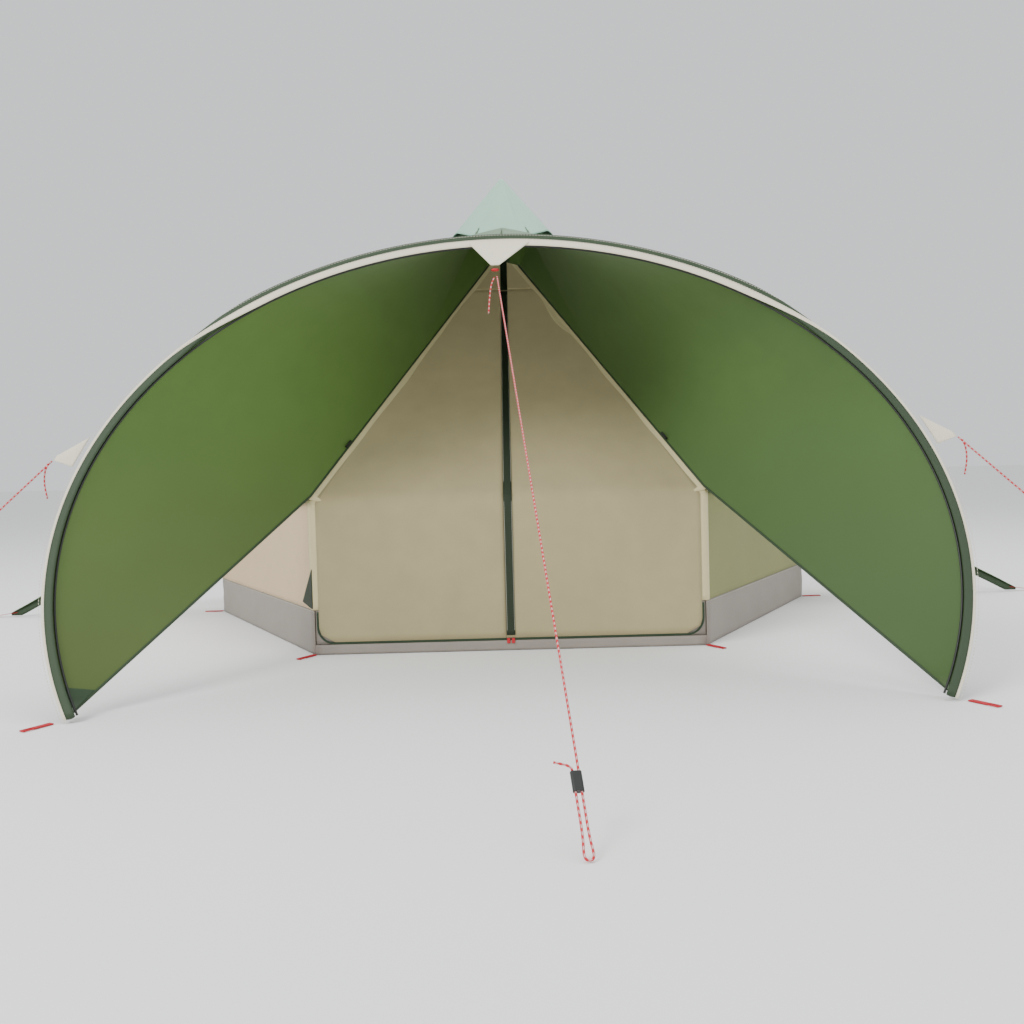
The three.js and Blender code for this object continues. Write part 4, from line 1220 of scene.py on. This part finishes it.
def make_camera():
    """A camera in front of the door at sitting height, turned and rolled a little."""
    yaw, pitch, roll = (math.radians(a) for a in (-0.277, -2.324, -1.531))
    forward = Vector((math.sin(yaw) * math.cos(pitch), math.cos(yaw) * math.cos(pitch), math.sin(pitch)))
    right = Vector((math.cos(yaw), -math.sin(yaw), 0))
    up = right.cross(forward)
    x = right * math.cos(roll) + up * math.sin(roll)
    y = -right * math.sin(roll) + up * math.cos(roll)
    matrix = Matrix((x, y, -forward)).transposed().to_4x4()
    matrix.translation = (0.0409, -5.9049, 0.8105)
    data = bpy.data.cameras.new("camera")
    data.lens, data.sensor_width = 33.46, 36.0
    camera = link(bpy.data.objects.new("camera", data))
    camera.matrix_world = matrix
    bpy.context.scene.camera = camera


# ---- add-on ----
class TENT_OT_stage(bpy.types.Operator):
    """Adds the camera, the pale floor and soft lights."""

    bl_idname = "tent.stage"
    bl_label = "Stage"

    def execute(self, context):
        make_camera()
        make_stage()
        return {"FINISHED"}


class TENT_OT_finishes(bpy.types.Operator):
    """Makes the cloths, webbings, rope, plastic and metal."""

    bl_idname = "tent.finishes"
    bl_label = "Finishes"

    def execute(self, context):
        make_materials()
        return {"FINISHED"}


class TENT_OT_ropes(bpy.types.Operator):
    """Adds the front and side guy ropes with their loose ends."""

    bl_idname = "tent.ropes"
    bl_label = "Guy ropes"

    def execute(self, context):
        make_ropes()
        return {"FINISHED"}


class TENT_OT_fly(bpy.types.Operator):
    """Adds the fly's five panels with their seams, hems and stitches."""

    bl_idname = "tent.fly"
    bl_label = "Fly"

    def execute(self, context):
        make_fly()
        return {"FINISHED"}


class TENT_OT_cap(bpy.types.Operator):
    """Adds the folded cap over the peak."""

    bl_idname = "tent.cap"
    bl_label = "Cap"

    def execute(self, context):
        make_cap()
        return {"FINISHED"}


class TENT_OT_tails(bpy.types.Operator):
    """Adds the fly's four tails with their straps."""

    bl_idname = "tent.tails"
    bl_label = "Fly tails"

    def execute(self, context):
        make_tails()
        return {"FINISHED"}


class TENT_OT_wings(bpy.types.Operator):
    """Adds the porch's two wings with their hem piping."""

    bl_idname = "tent.wings"
    bl_label = "Porch wings"

    def execute(self, context):
        make_wings()
        return {"FINISHED"}


class TENT_OT_hoop(bpy.types.Operator):
    """Adds the hoop's sleeve, bands, piping and stitches."""

    bl_idname = "tent.hoop"
    bl_label = "Hoop"

    def execute(self, context):
        make_hoop()
        return {"FINISHED"}


class TENT_OT_beak(bpy.types.Operator):
    """Adds the cream patch that the front rope pulls on."""

    bl_idname = "tent.beak"
    bl_label = "Beak"

    def execute(self, context):
        make_beak()
        return {"FINISHED"}


class TENT_OT_side_patches(bpy.types.Operator):
    """Adds the cream patches that the side ropes pull on."""

    bl_idname = "tent.side_patches"
    bl_label = "Side patches"

    def execute(self, context):
        make_side_patches()
        return {"FINISHED"}


class TENT_OT_inner(bpy.types.Operator):
    """Adds the inner tent's walls and roof."""

    bl_idname = "tent.inner"
    bl_label = "Inner tent"

    def execute(self, context):
        make_inner()
        return {"FINISHED"}


class TENT_OT_ground(bpy.types.Operator):
    """Adds the tent's floor, the grey band round its foot and the sill."""

    bl_idname = "tent.ground"
    bl_label = "Floor and band"

    def execute(self, context):
        make_ground()
        return {"FINISHED"}


class TENT_OT_front_seams(bpy.types.Operator):
    """Adds the cream strips at the front corners and hips."""

    bl_idname = "tent.front_seams"
    bl_label = "Front seams"

    def execute(self, context):
        make_front_seams()
        return {"FINISHED"}


class TENT_OT_doors(bpy.types.Operator):
    """Adds the two door halves and the fixed piece above them."""

    bl_idname = "tent.doors"
    bl_label = "Doors"

    def execute(self, context):
        make_doors()
        make_door_head()
        return {"FINISHED"}


class TENT_OT_zips(bpy.types.Operator):
    """Adds the flap over the middle zip and the coils of the bottom zips."""

    bl_idname = "tent.zips"
    bl_label = "Zips"

    def execute(self, context):
        make_zip_flap()
        make_zip_coils()
        return {"FINISHED"}


class TENT_OT_webbing(bpy.types.Operator):
    """Adds the webbing straps, the beak's loop, the zip tapes and the corner patch."""

    bl_idname = "tent.webbing"
    bl_label = "Webbing"

    def execute(self, context):
        make_webbing()
        make_badge()
        return {"FINISHED"}


class TENT_OT_fittings(bpy.types.Operator):
    """Finishes the poles, pulls, toggles and other hard pieces."""

    bl_idname = "tent.fittings"
    bl_label = "Fittings"

    def execute(self, context):
        finish_fittings()
        return {"FINISHED"}


OPERATORS = (
    TENT_OT_stage,
    TENT_OT_finishes,
    TENT_OT_ropes,
    TENT_OT_fly,
    TENT_OT_cap,
    TENT_OT_tails,
    TENT_OT_wings,
    TENT_OT_hoop,
    TENT_OT_beak,
    TENT_OT_side_patches,
    TENT_OT_inner,
    TENT_OT_ground,
    TENT_OT_front_seams,
    TENT_OT_doors,
    TENT_OT_zips,
    TENT_OT_webbing,
    TENT_OT_fittings,
)


class TENT_PT_build(bpy.types.Panel):
    """Lists the tent's sizes, colours and making steps."""

    bl_idname = "TENT_PT_build"
    bl_label = "Teepee Tent"
    bl_space_type = "VIEW_3D"
    bl_region_type = "UI"
    bl_category = "Tent"

    def draw(self, context):
        for name in TentSettings.__annotations__:
            self.layout.prop(settings(), name)
        for operator in OPERATORS:
            self.layout.operator(operator.bl_idname)


CLASSES = (TentSettings, *OPERATORS, TENT_PT_build)


def register():
    for made in CLASSES:
        bpy.utils.register_class(made)
    bpy.types.Scene.teepee_tent = PointerProperty(type=TentSettings)


def unregister():
    del bpy.types.Scene.teepee_tent
    for made in reversed(CLASSES):
        bpy.utils.unregister_class(made)


def main():
    """Makes the whole tent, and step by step."""
    register()
    bpy.ops.tent.stage()
    bpy.ops.tent.finishes()
    bpy.ops.tent.ropes()
    bpy.ops.tent.fly()
    bpy.ops.tent.cap()
    bpy.ops.tent.tails()
    bpy.ops.tent.wings()
    bpy.ops.tent.hoop()
    bpy.ops.tent.beak()
    bpy.ops.tent.side_patches()
    bpy.ops.tent.inner()
    bpy.ops.tent.ground()
    bpy.ops.tent.front_seams()
    bpy.ops.tent.doors()
    bpy.ops.tent.zips()
    bpy.ops.tent.webbing()
    bpy.ops.tent.fittings()


if __name__ == "__main__":
    main()
